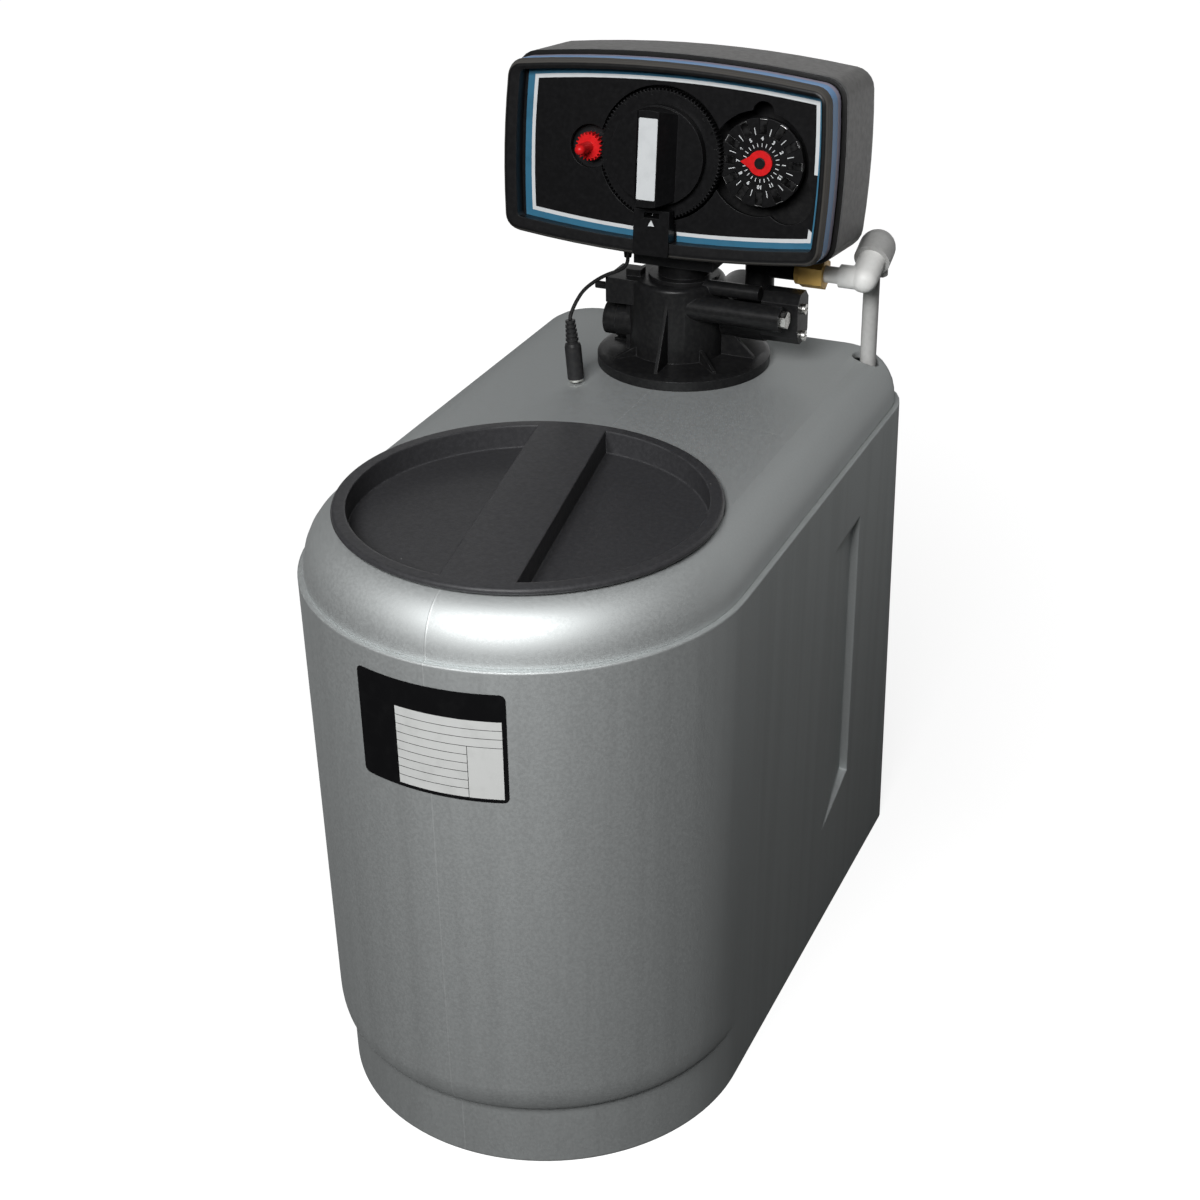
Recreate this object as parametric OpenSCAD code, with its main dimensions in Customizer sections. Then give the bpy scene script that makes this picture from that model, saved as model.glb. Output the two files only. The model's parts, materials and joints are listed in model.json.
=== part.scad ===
// Cabinet water softener: a brine tank with a pressure vessel inside and a timer valve on top.
// Millimetres, +Z up, origin on the floor under the middle of the cabinet, front towards -Y.

/* [Cabinet] */
// Width of the cabinet at its shoulder line
cabinet_width = 238; // [225:1:260]
// Length of the cabinet, front to back
cabinet_length = 425; // [410:1:470]
// Height of the shoulder line, where the cover sits on the tank
shoulder_height = 314; // [290:1:360]
// How much each side leans in from the shoulder to the floor
side_taper = 5; // [2:0.5:9]
// How much the back leans out from the shoulder to the floor
rear_lean = 6; // [0:0.5:9]
// Wall of the tank
tank_wall = 4.5; // [3:0.5:6]
// Corner radius of the back at the shoulder
shoulder_corner = 40; // [36:1:50]
// Corner radius of the back at the floor
floor_corner = 12; // [8:1:24]
// Height of the front plinth
plinth_height = 39; // [28:1:55]
// Depth of the plinth step at the front
plinth_step = 10.5; // [5:0.5:14]
// Height over which the body curves in above the plinth
plinth_round = 20; // [15:1:40]

/* [Side grips] */
// Height of each grip recess along its front edge
grip_height = 194; // [150:1:196]
// Floor to the lower front corner of the grip recess
grip_base = 77.5; // [70:0.5:90]
// Rise of the recess's lower edge towards the back
grip_rise = 13.5; // [0:0.5:20]
// Length of each grip recess, front to back
grip_length = 48; // [36:1:60]
// Depth of the grip recess at its back wall
grip_depth = 5; // [4:0.5:7]
// Back of the cabinet to the back wall of the grip recess, at its lower edge
grip_back = 101; // [96:1:120]
// Lean of the grip recess, top towards the front
grip_lean = 2.8; // [0:0.2:5]

/* [Cover and lid] */
// Height of the cover above the shoulder
cover_rise = 30; // [26:1:38]
// Sideways reach of the cover's rounded edge
cover_round = 26; // [20:1:30]
// Fullness of the rounded edge, 1 for an ellipse and less for a squarer one
cover_power = 0.9; // [0.8:0.02:1]
// Step from the shoulder of the tank in to the cover
cover_inset = 3; // [2:0.5:4]
// Wall of the cover
cover_wall = 3.5; // [2.5:0.5:4.5]
// Depth of the skirt that locates the cover inside the tank
skirt_depth = 14; // [8:1:20]
// Diameter of the salt lid
lid_d = 200; // [190:1:204]
// Height of the lid rim above its seat
lid_rise = 4.6; // [4:0.1:7]
// Depth of the lid seat below the top of the cover
lid_seat = 0.8; // [0.5:0.1:1.2]
// Width of the lid's flat rim
lid_rim = 7.5; // [7.5:0.5:10]
// Depth of the two hand wells in the lid
lid_well = 13; // [10:0.5:20]
// Wall of the lid
lid_wall = 3; // [2:0.5:3.5]
// Width of the bar across the lid
lid_bar = 38; // [30:1:46]
// Turn of the bar from straight ahead
lid_turn = 10; // [0:1:30]

/* [Rating plate] */
// Angle that the plate covers round the front
plate_angle = 39; // [25:1:50]
// Height of the plate
plate_height = 61; // [40:1:70]
// Shoulder line to the top edge of the plate
plate_drop = 12; // [8:1:40]
// Thickness of the plate
plate_t = 0.3; // [0.2:0.1:0.5]

/* [Resin vessel] */
// Diameter of the resin vessel
vessel_d = 154; // [146:1:156]
// Back of the cabinet to the vessel and valve axis
vessel_back = 90.5; // [88:0.5:100]
// Wall of the resin vessel
vessel_wall = 3.5; // [2.5:0.5:4.5]
// Outside diameter of the vessel neck
neck_d = 86; // [84:1:88]
// Diameter of the neck thread
thread_d = 72; // [70:0.5:74]
// Length of the neck thread
thread_len = 18; // [14:1:22]
// Outside diameter of the riser tube
riser_d = 26.7; // [24:0.1:28]

/* [Valve] */
// Diameter of the valve flange
flange_d = 101.6; // [98:0.2:104]
// Thickness of the valve flange
flange_t = 7; // [5:0.5:9]
// Diameter of the valve drum
drum_d = 56; // [52:1:58]
// Height of the valve drum above the flange
drum_h = 45; // [42:1:48]
// Diameter of the seal bore in the drum
seal_bore_d = 34; // [33:0.5:36]
// Diameter of the piston
piston_d = 22; // [20:0.5:23]
// Travel of the piston
piston_travel = 14; // [8:1:15]
// Diameter of the piston rod
rod_d = 6; // [5:0.5:7]
// Bore of the inlet and outlet threads, three-quarter inch pipe
port_bore_d = 24.1; // [22:0.1:25]
// Distance between the inlet and outlet axes
port_spacing = 42; // [40:1:46]
// Bore of the drain outlet
drain_bore_d = 12; // [9:0.5:13]

/* [Brine line] */
// Side of the cabinet, at the shoulder, in to the brine tube axis
brine_side = 19.5; // [19:0.1:21]
// Back of the cabinet to the brine tube axis
brine_back = 45.5; // [44:0.5:47]
// Outside diameter of the brine tube
tube_d = 9.5; // [8:0.1:10]
// Diameter of the hole in the cover for the tube
tube_hole_d = 16; // [15:0.5:17]
// Outside diameter of the brine well pipe
well_d = 32; // [30:0.5:32]
// Height of the brine well pipe
well_height = 285; // [200:5:288]

/* [Control head] */
// Tilt of the control head, top away from the front
head_tilt = 6.5; // [4:0.5:7]
// Valve axis forward to the dial panel
head_forward = 36.2; // [35.2:0.5:38.2]
// Top of the cover up to the middle of the dial panel
head_rise = 130.3; // [129.3:0.5:134.3]
// Width of the bezel at its front
bezel_w = 189.5; // [187.5:0.5:191.5]
// Height of the bezel at its front
bezel_h = 104; // [102:0.5:106]
// Outward bow of the long edges
bow_long = 5; // [3:0.5:6]
// Outward bow of the short edges
bow_short = 1.5; // [0.5:0.5:2.5]
// Corner radius of the head
head_corner = 9; // [7:0.5:11]
// Depth of the rear housing
housing_depth = 61; // [59:1:66]
// Reach of the bezel in front of the panel
bezel_reach = 9; // [6:0.5:10]
// Wall of the head mouldings
head_wall = 3; // [2.5:0.5:3.5]

/* [Timer] */
// Teeth on the day gear
day_teeth = 100; // [96:1:104]
// Teeth on the set pinion
pinion_teeth = 21; // [19:1:23]
// Tooth module of the day gear and the set pinion
day_module = 0.7; // [0.66:0.01:0.72]
// Diameter of the knob disc
knob_d = 54.4; // [50:0.2:56]
// Height of the knob's grip bar
knob_bar_h = 13; // [10:0.5:15]
// Width of the grip bar at its front
knob_bar_w = 11.5; // [9:0.5:14]
// Diameter of the skipper wheel
skipper_d = 48; // [46:0.5:50]
// Travel of each day tab
tab_travel = 3; // [2:0.1:3]
// Push of the red set button
button_travel = 6; // [5.8:0.1:7]

/* [Power lead] */
// Diameter of the lead
lead_d = 2.2; // [1.8:0.1:3]
// Diameter of the lead's socket
socket_d = 9.6; // [8.5:0.1:11]

/* [Hidden] */

$fn = 72;
fit = 0.05;
slip = 0.2;
seat_gap = 0.2;
eps = 0.01;
over = 1;
plate_gap = 0.15;

// Cabinet frame
half_w = cabinet_width / 2;
half_l = cabinet_length / 2;
lid_y = half_w - half_l;
top_z = shoulder_height + cover_rise;
front_steps = 60;
corner_steps = 8;
round_steps = 8;
taper_angle = atan(side_taper / shoulder_height);
lid_bead = 1.8;

// Vessel and valve frame
axis_y = half_l - vessel_back;
flange_z = top_z + seat_gap;
oring_d = 2.8;
neck_top = flange_z - oring_d;
neck_gap = 1;
neck_land = 2;
spigot_tail = 4;
spigot_z = flange_z - thread_len - spigot_tail;
drum_z = flange_z + flange_t;
drum_top = drum_z + drum_h;
drum_shift = -4;
drum_round = 3;
flange_edge = 1.5;
flange_chamfer = 3;
dome_h = 42;
dome_steps = 10;
vessel_r = vessel_d / 2;
vessel_foot = 3.5;
vessel_z = tank_wall + vessel_foot;
shoulder_drop = 55;
shoulder_z = neck_top - thread_len - neck_land - shoulder_drop;
base_inner = 30;
base_inset = 3;
base_lip = 1;

// Riser tube, with a slotted basket at its foot and a strainer cone under the valve
riser_wall = 2.3;
riser_gap = 2;
basket_r = 22;
basket_h = 46;
basket_cap = 14;
basket_floor = 6;
basket_z = vessel_z + vessel_wall + basket_floor;
pipe_low = basket_z + basket_floor;
strainer_h = 20;
strainer_inset = 6;
strainer_taper = 8;
strainer_slot_h = 11;
strainer_slot_low = 4;
slot_count = 12;
slot_w = 1.2;
slot_wall = 2.5;

// Piston and seals, stacked upwards from the floor of the seal bore
seal_count = 5;
seal_h = 3;
bore_base = 3;
bore_floor = drum_z + bore_base;
plug_d = 41;
plug_top_d = 30;
plug_h = 18;
plug_step = 8;
plug_depth = 6;
plug_bore_gap = 0.1;
plug_z = drum_top - plug_depth;
spacer_h = (plug_z - bore_floor - seal_count * seal_h) / (seal_count - 1);
spacer_gap = 1.5;
spacer_edge = 1.2;
spacer_window = 5;
piston_gap = 1;
piston_z = bore_floor + piston_gap;
piston_h = plug_z - piston_gap - piston_z - piston_travel;
land_h = 7;
land_bevel = 1;
waist_depth = 3;
rod_reach = 62;
rod_top = plug_z + rod_reach;
yoke_w = 34;
yoke_t = 5;
yoke_h = 12;
yoke_side = 3;
yoke_root = 1;
yoke_play = 1;

// Outside of the valve: ribs, pipe ports, drain outlet, strut and the box beside the drum
rib_t = 2;
rib_root = 8;
rib_end = 7;
rib_tip = 2;
rib_low = 8;
rib_middle = 18;
port_r = 16;
port_len = 46;
port_depth = 18;
port_z = drum_z + 20;
drain_r = 11;
drain_end = -38;
drain_y = axis_y - 4;
drain_z = drum_z + 15;
drain_socket_r = 8;
drain_socket_depth = 12;
drain_spigot_len = 10;
drain_stop = 8;
drain_step = 1;
drain_len = 8;
side_box = [20, 26, 15];
side_box_at = [-41, -20, 30];
side_pin_r = 2.2;
side_pin_len = 10;
side_pin_at = [-49, -15, 38];
strut = [9, 8, drum_h + 5];
strut_at = [-31, -13, -1];

// Injector: its cylinder on the valve, the nozzle inside, the block beside it and their screws
injector_y = axis_y - 17;
injector_z = drum_z + 32.5;
injector_r = 7.3;
injector_end = 66;
nozzle_r = 4;
nozzle_bore_r = 1.2;
nozzle_depth = 34;
nozzle_gap = 2;
nozzle_len = 26;
hex_r = 5.2;
hex_h = 3.5;
hex_shank = 5;
arm_z = drum_z + 19;
arm_r = 9;
arm_y = axis_y + 5;
bypass_r = 4.4;
bypass_y = axis_y - 9;
bypass_drop = 2;
block_x = 50;
block_w = 22;
block_h = 30;
block_y = axis_y - 7;
block_z = arm_z - 6;
block_d = 19;
block_chamfer = 5;
passage_r = 3;
passage_len = 12;
block_screw_r = 3;
block_screw_h = 2;
block_screw_low = 4;
block_screw_high = block_h - 10;
driver_slot = [1, 8, 1];

// Brine valve, a spring-loaded stem in an upright cylinder
brine_valve_x = 39;
brine_valve_back = 21;
brine_valve_y = axis_y + brine_valve_back;
brine_valve_d = 17;
brine_valve_top = top_z + 66;
bridge_w = 10;
bridge_h = 12;
valve_seat_z = drum_z + 33;
valve_bore_r = 5.5;
valve_base = 6;
valve_cap = 4;
valve_floor = valve_seat_z + valve_base;
valve_boss_r = 6;
stem_r = 2.5;
stem_drop = 4;
stem_play = 0.5;
stem_room = 2;
stem_low = valve_seat_z + 1;
stem_disc = brine_valve_top - 9.5;
stem_disc_t = 3;
stem_button_z = brine_valve_top + 9;
stem_button_rim = 1;
stem_button_t = 2;
spring_r = 4.2;
spring_wire = 0.6;
spring_turns = 4;
spring_steps = 12;
wire_sides = 6;
spring_low = valve_floor + seat_gap;
spring_high = stem_disc - seat_gap;

// Brine line from the valve over to the tube that goes down into the tank
brine_x = half_w - brine_side;
brine_y = half_l - brine_back;
brine_z = top_z + 56;
nut_x = 62;
nut_len = 17;
nut_collar = 3;
nut_collar_step = 0.5;
nut_across = 16.5;
stub_r = 4.8;
stub_start = nut_x + 4;
leg_r = 6.7;
leg_root = 6;
socket_r = 8;
ring_r = 10.6;
leg_bore = 3;
rise_bore = 2.5;
dome_shift = 2.2;
elbow_x = brine_x + dome_shift;
rise_y = brine_y - brine_valve_y;
rise_z = 11;
leg_reach = norm([rise_y, rise_z]);
leg_short = 11;
leg_len = leg_reach - leg_short;
leg_tilt = atan2(rise_z, rise_y);
connector_r = 8;
connector_drop = 16;
connector_low = brine_z + rise_z - connector_drop;
tube_wall = 1.6;
tube_in = 4;
tube_top = brine_z + rise_z - tube_in;
tube_bottom = 52;
hole_shift = 1.5;
well_shift = [-7.5, -1.5];
well_wall = 1.5;
well_slot = [3, 6];
well_slot_low = 12;
well_slot_step = 14;
well_rows = 4;
pickup_r = 6.6;
pickup_z = 14;
pickup_socket = 8;
pickup_top = tube_bottom + pickup_socket;
pickup_stop = 3;
pickup_slot = [2, 12];
pickup_slot_low = 10;
ball_r = 4;
ball_room = 1;
seat_z = 4;
seat_r = 2;
cage_z = 6;
ball_z = pickup_z + seat_z - seat_r + (ball_r + fit) * sqrt(2);

// Control head: local x to the right, y up the panel, z out to the viewer
panel_x = 2.75;
panel_shift = [2.1, 1.75];
panel_y = axis_y - head_forward;
panel_z = top_z + head_rise;
edge_steps = 10;
side_steps = 6;
turn_steps = 5;
corner_min = 2;
bezel_flare = 1;
bezel_back = 4;
bezel_edge = 3;
stripe_back = -10;
groove_back = -13;
neck_back = -29;
groove_depth = 2;
neck_grow = bezel_flare - groove_depth;
lip = 1;
lip_drop = 0.5;
panel_t = 2.5;
panel_inset = 5.05;
panel_seat = 1;
panel_taper = 4;
housing_over = 2.35;
housing_grow = bezel_flare + housing_over;
housing_round = 12;
housing_back = groove_back - housing_depth;

// Plate that carries the timer, its posts and the foot on the valve
gear_plate_t = 3;
plate_front = -18;
plate_back = plate_front - gear_plate_t;
shelf_v = -40;
shelf_t = 6;
shelf_back = -62;
shelf_in = 1;
riser_front = -34;
riser_over = 5;
foot_x = -22;
foot_w = 40;
foot_h = 6;
foot_depth = 44;
foot_side = 8;
foot_y = axis_y - 23;
foot_gap = 2;
foot_slot_w = 76;
foot_slot_back = 6;
foot_z = plug_z + plug_h;
riser_low = (foot_z + foot_h - 1 - panel_z - riser_front * sin(head_tilt)) / cos(head_tilt);
rod_gap = 1;
post_r = 5;
post_x = 80;
post_y = 33;
screw_r = 1.6;
screw_bite = 0.1;
screw_thin = 0.15;
screw_head_r = 3.2;
screw_head_h = 2.4;
screw_len = 12;

// Timer train, placed on the dial panel
knob_u = -panel_x;
knob_v = 3.05;
shaft_r = 4;
hub_r = 7;
hub_step = 3;
hub_wall = 4;
gear_front = 2;
gear_t = 5;
gear_back = gear_front - gear_t;
day_r = day_module * day_teeth / 2;
pinion_r = day_module * pinion_teeth / 2;
pinion_u = knob_u - day_r - pinion_r;
pinion_front = gear_front + 0.5;
pinion_t = 5;
pinion_well_r = 12;
pinion_sleeve_r = 4.5;
pin_reach = 14;
pin_r = 3;
idler_teeth = 60;
motor_teeth = 12;
idler_module = 0.6;
idler_front = -6;
idler_t = 3;
idler_back = idler_front - idler_t;
set_shaft_r = 2;
set_boss_wall = 2;
set_boss_h = 2.5;
train_dist = idler_module * (idler_teeth + motor_teeth) / 2;
train_angle = 129;
motor_u = pinion_u + train_dist * cos(train_angle);
motor_v = knob_v + train_dist * sin(train_angle);
motor_r = 18;
motor_t = 24;
motor_shaft_r = 1.2;
motor_shaft_over = 2;
motor_hole_gap = 3.5;
motor_ear = [motor_r + 8, 4, 2];
motor_ear_back = 3;
motor_ear_turn = 60;
motor_gear_front = idler_front + 1.5;
motor_gear_t = idler_t + button_travel + 3;
knob_back = gear_front + 1;
knob_t = 4.5;
knob_front = knob_back + knob_t;
knob_bar_base = 24;
knob_bar_inset = 1;
cam_r = 19;
cam_lift = 3;
cam_t = 4.5;
cam_front = plate_back - 1;
cam_back = cam_front - cam_t;
crank_r = piston_travel / 2;
crank_pin_r = 2.5;
crank_pin_len = 3;

// Half widths of a gear tooth as shares of its pitch, and its reach in and out as shares of the module
tooth_foot = 0.27;
tooth_tip = 0.1;
tooth_in = 1.1;
tooth_out = 0.75;

// Skipper wheel with its day tabs and pointer, and the openings for it in the panel
skip_u = 53.75;
skip_v = 3.25;
skip_front = -4;
skip_t = 4;
skip_back = skip_front - skip_t;
skip_pin_r = 3;
skip_pin_over = 2.6;
skip_step_r = 8;
skip_well_gap = 1.5;
skip_well_r = skipper_d / 2 + tab_travel + skip_well_gap;
skip_notch_r = 6;
skip_notch = [1, -1];
skip_scoop_r = 14;
skip_scoop = [18, -17];
tab_w = 4;
tab_len = 8;
tab_t = 1.3;
tab_count = 12;
tab_edge = 0.6;
tab_in = skipper_d / 2 - tab_len - tab_edge;
pointer_r = 6.8;
pointer_t = 1.6;
pointer_tip = 4.5;
pointer_half = 4;
pointer_root = 2;

// Tongue over the lower edge of the day gear, with its window
panel_gear_gap = 1.2;
window_w = 21;
window_top = knob_v - knob_d / 2 - 2;
window_low = 0.5 - bezel_h / 2;
window_in = panel_inset + lip + panel_shift[1] + slip - bezel_h / 2;
window_face = gear_front + 2;
window_cap = 1.6;
window_lap = 4;
window_hole = [9, 3];
window_hole_drop = 4.5;

// Power lead, from the gland under the head to the socket that rests on the cover
gland_u = -34;
gland_w = -34;
gland_r = 3.2;
gland_wall = 1;
gland_len = 8;
gland_head_r = 4.6;
gland_head_t = 2;
gland_tail = 2;
gland_top = bow_long * pow(2 * gland_u / bezel_w, 2) - bezel_h / 2 - housing_grow;
gland_tip = head_point(gland_u, gland_top - gland_head_t - gland_len / 2, gland_w);
gland_mouth = head_point(gland_u, gland_top - gland_head_t - gland_len - 1, gland_w);
lead_points = [
    [-31.4, -10.2, 59.2], [-32, -11, 57.6], [-32.8, -12.2, 56.4], [-33.9, -13.9, 55.7], [-36, -17, 55],
    [-38.2, -20.2, 54.6], [-40.3, -23.7, 54], [-42.2, -27.8, 53.2], [-43.8, -32.2, 52.2], [-45.2, -36.8, 51],
    [-46.4, -41.2, 49.2], [-47.2, -45.2, 46.8], [-47.8, -49, 44], [-48.2, -52.2, 41], [-48.2, -54.2, 39],
    [-48, -55, 37]];
lead_route = concat([gland_tip, gland_mouth], [for (p = lead_points) p + [0, axis_y, top_z]]);
lead_end = lead_route[len(lead_route) - 1];
lead_sides = 8;
lead_across = [1, 0.3, 0];
socket_foot = [-44, axis_y - 57, top_z + 1.2];
socket_along = socket_foot - lead_end;
socket_len = norm(socket_along);
socket_edge = [0.8, 2];
socket_neck = [0.6, 0.5];
socket_shoulder = 2.5;
socket_mouth_r = 2.75;
socket_mouth_depth = 9.5;
relief_len = 13;
relief_r = 2.9;
relief_grow = 0.2;
relief_groove = 0.6;
rib_count = 5;
rib_share = 0.6;

// World position of a point in the tilted head
function head_point(u, v, w) = [panel_x + u,
    panel_y + v * sin(head_tilt) - w * cos(head_tilt),
    panel_z + v * cos(head_tilt) + w * sin(head_tilt)];

// Points of a circular arc in the plane
function arc(c, r, from, to, steps) =
    [for (i = [0:steps]) c + r * [cos(from + (to - from) * i / steps), sin(from + (to - from) * i / steps)]];

// Outline of the cabinet in plan: a round front, straight sides and two back corners
function plan(r, front, back, corner) = concat(
    arc([0, front], r, 180, 360, front_steps),
    arc([r - corner, back - corner], corner, 0, 90, corner_steps),
    arc([corner - r, back - corner], corner, 90, 180, corner_steps));

// Outline of the cabinet at a height, drawn in by a wall and with its front moved back
function cabinet_ring(z, inset, shift) =
    let (part = min(z, shoulder_height) / shoulder_height)
    let (r = half_w - side_taper * (1 - part) - inset)
    let (corner = floor_corner + (shoulder_corner - floor_corner) * part - inset)
    let (back = half_l - rear_lean * part - inset)
    [for (p = plan(r, lid_y + shift, back, corner)) [p[0], p[1], z]];

// Places along an edge between its corners, from -1 to 1, and the share of its bow at such a place
function along_edge(steps) = [for (i = [1:steps - 1]) 2 * i / steps - 1];
function bow(place) = 1 - pow(place, 2);

// Outline of the head: bowed edges and round corners, as half sizes at the middle of each edge
function head_outline(a, b, corner) =
    let (cx = a - bow_short - corner)
    let (cy = b - bow_long - corner)
    let (lean_long = atan(2 * bow_long / cx))
    let (lean_short = atan(2 * bow_short / cy))
    let (tx = cx + corner * sin(lean_long))
    let (ty = cy + corner * cos(lean_long))
    let (sx = cx + corner * cos(lean_short))
    let (sy = cy + corner * sin(lean_short))
    concat(
        [for (s = along_edge(side_steps)) [sx + (a - sx) * bow(s), sy * s]],
        arc([cx, cy], corner, lean_short, 90 - lean_long, turn_steps),
        [for (s = along_edge(edge_steps)) [-tx * s, ty + (b - ty) * bow(s)]],
        arc([-cx, cy], corner, 90 + lean_long, 180 - lean_short, turn_steps),
        [for (s = along_edge(side_steps)) [(sx - a) * bow(s) - sx, -sy * s]],
        arc([-cx, -cy], corner, 180 + lean_short, 270 - lean_long, turn_steps),
        [for (s = along_edge(edge_steps)) [tx * s, (ty - b) * bow(s) - ty]],
        arc([cx, -cy], corner, 270 + lean_long, 360 - lean_short, turn_steps));

// The same outline grown or drawn in from the bezel's front, at a depth in the head
function head_ring(grow, depth) =
    let (corner = max(head_corner + grow, corner_min))
    [for (p = head_outline(bezel_w / 2 + grow, bezel_h / 2 + grow, corner)) [p[0], p[1], depth]];

// Outline of the panel, which sits off the middle of the bezel
function panel_ring(inset, depth) =
    let (corner = max(head_corner - inset, corner_min))
    [for (p = head_outline(bezel_w / 2 - inset, bezel_h / 2 - inset, corner))
        [p[0] + panel_shift[0], p[1] + panel_shift[1], depth]];

// Outline of a spur gear with straight slim teeth
function gear_points(teeth, size) =
    let (pitch = 360 / teeth)
    let (r = size * teeth / 2)
    let (flank = [[-tooth_foot, -tooth_in], [-tooth_tip, tooth_out],
        [tooth_tip, tooth_out], [tooth_foot, -tooth_in]])
    [for (i = [0:teeth - 1], k = flank)
        (r + k[1] * size) * [cos((i + k[0]) * pitch), sin((i + k[0]) * pitch)]];

// Unit vector
function unit(v) = v / norm(v);

// Round cross-section of the lead at a point of its route
function lead_section(p, along) =
    let (side = unit(cross(along, lead_across)))
    let (up = cross(side, along))
    [for (i = [0:lead_sides - 1])
        let (a = 360 * i / lead_sides)
        p + lead_d / 2 * (side * cos(a) + up * sin(a))];

// Heading of the lead: straight out of the gland, straight into the socket and smooth between
function lead_heading(i) =
    i == 0 ? [0, -sin(head_tilt), -cos(head_tilt)]
    : i == len(lead_route) - 1 ? unit(socket_along)
    : unit(lead_route[i + 1] - lead_route[i - 1]);

// Half section of the resin vessel, drawn in by a wall
function vessel_bottom(inset) = [for (i = [0:dome_steps])
    let (a = 90 * i / dome_steps)
    [(vessel_r - inset) * sin(a), vessel_z + dome_h - (dome_h - inset) * cos(a)]];
function vessel_shoulder(inset, neck) = [for (i = [0:dome_steps])
    let (a = 90 * i / dome_steps)
    [neck + (vessel_r - inset - neck) * cos(a), shoulder_z + (shoulder_drop - inset) * sin(a)]];
function dome_at(x) = vessel_z + dome_h - dome_h * sqrt(1 - pow(x / vessel_r, 2)) - slip;

// Radius of the cabinet's round front at a height, just outside its wall
function front_r(z) = half_w - side_taper * (1 - z / shoulder_height) + plate_gap;

// Skin through rings of equal count; open ends are capped, a loop joins its last ring to its first
module loft(rings, loop = false) {
    n = len(rings[0]);
    m = len(rings);
    points = [for (ring = rings) each ring];
    sides = [for (k = [0:loop ? m - 1 : m - 2], i = [0:n - 1])
        let (j = (i + 1) % n)
        let (next = (k + 1) % m)
        each [[k * n + i, next * n + j, k * n + j], [k * n + i, next * n + i, next * n + j]]];
    caps = loop ? [] : [[for (i = [0:n - 1]) i], [for (i = [0:n - 1]) m * n - 1 - i]];
    polyhedron(points = points, faces = concat(sides, caps));
}

// Places parts at the lid, on the valve axis, on the drum's foot or in the tilted head
module at_lid() { translate([0, lid_y, 0]) children(); }
module at_valve() { translate([0, axis_y, 0]) children(); }
module at_drum() { translate([0, axis_y, drum_z]) children(); }
module at_brine_valve(z) { translate([brine_valve_x, brine_valve_y, z]) children(); }
module in_head() { translate([panel_x, panel_y, panel_z]) rotate([90 - head_tilt, 0, 0]) children(); }
module at_dial(u, v, w) { in_head() translate([u, v, w]) children(); }
module at_knob(w) { at_dial(knob_u, knob_v, w) children(); }
module at_pinion(w) { at_dial(pinion_u, knob_v, w) children(); }
module at_skipper(w) { at_dial(skip_u, skip_v, w) children(); }
module at_posts(w) { for (x = [-post_x, post_x], y = [-post_y, post_y]) at_dial(x, y, w) children(); }

// Ring with a bore
module tube(outer, inner, h) {
    difference() {
        cylinder(r = outer, h = h);
        translate([0, 0, -over]) cylinder(r = inner, h = h + 2 * over);
    }
}

// Cylinder along +X or +Y from a point
module rod_x(p, r, len) { translate(p) rotate([0, 90, 0]) cylinder(r = r, h = len); }
module rod_y(p, r, len) { translate(p) rotate([-90, 0, 0]) cylinder(r = r, h = len); }

// Hexagon along +X from a point, by the radius over its corners
module hex_x(p, r, len) { translate(p) rotate([0, 90, 0]) cylinder(r = r, h = len, $fn = 6); }

// Wedge of a grip recess in the plane of the side wall; grown, it is the wall behind the recess
module grip_wedge(grow, skin) {
    slope = grip_length / grip_depth;
    lower = 1.2 * grow;
    translate([half_w - side_taper, half_l - grip_back, 0]) rotate([0, taper_angle, 0])
        translate([-grow, 0, grip_base]) rotate([grip_lean, 0, 0]) intersection() {
            translate([0, 0, -grip_rise - 2 * grow]) linear_extrude(grip_height + grip_rise + 3 * grow)
                polygon([[skin, -grip_length - slope * skin], [-grip_depth, grow], [skin, grow]]);
            translate([0, 0, grip_rise - lower]) rotate([atan(grip_rise / grip_length), 0, 0])
                translate([-half_w, -half_l, 0]) cube([cabinet_width, cabinet_length, shoulder_height]);
        }
}

module brine_tank() {
    bend = [for (i = [0:round_steps]) 90 * i / round_steps];
    color("silver") difference() {
        union() {
            loft(concat(
                [cabinet_ring(0, 0, plinth_step)],
                [for (t = bend)
                    cabinet_ring(plinth_height + plinth_round * (1 - cos(t)), 0, plinth_step * (1 - sin(t)))],
                [cabinet_ring(shoulder_height, 0, 0), cabinet_ring(shoulder_height, tank_wall, 0)],
                [for (i = [round_steps:-1:0]) let (t = bend[i])
                    cabinet_ring(plinth_height + tank_wall + plinth_round * (1 - cos(t)), tank_wall,
                        plinth_step * (1 - sin(t)))],
                [cabinet_ring(tank_wall, tank_wall, plinth_step)]));
            for (m = [0, 1]) mirror([m, 0, 0]) grip_wedge(tank_wall, over);
        }
        for (m = [0, 1]) mirror([m, 0, 0]) grip_wedge(0, 2 * over);
    }
}

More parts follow.
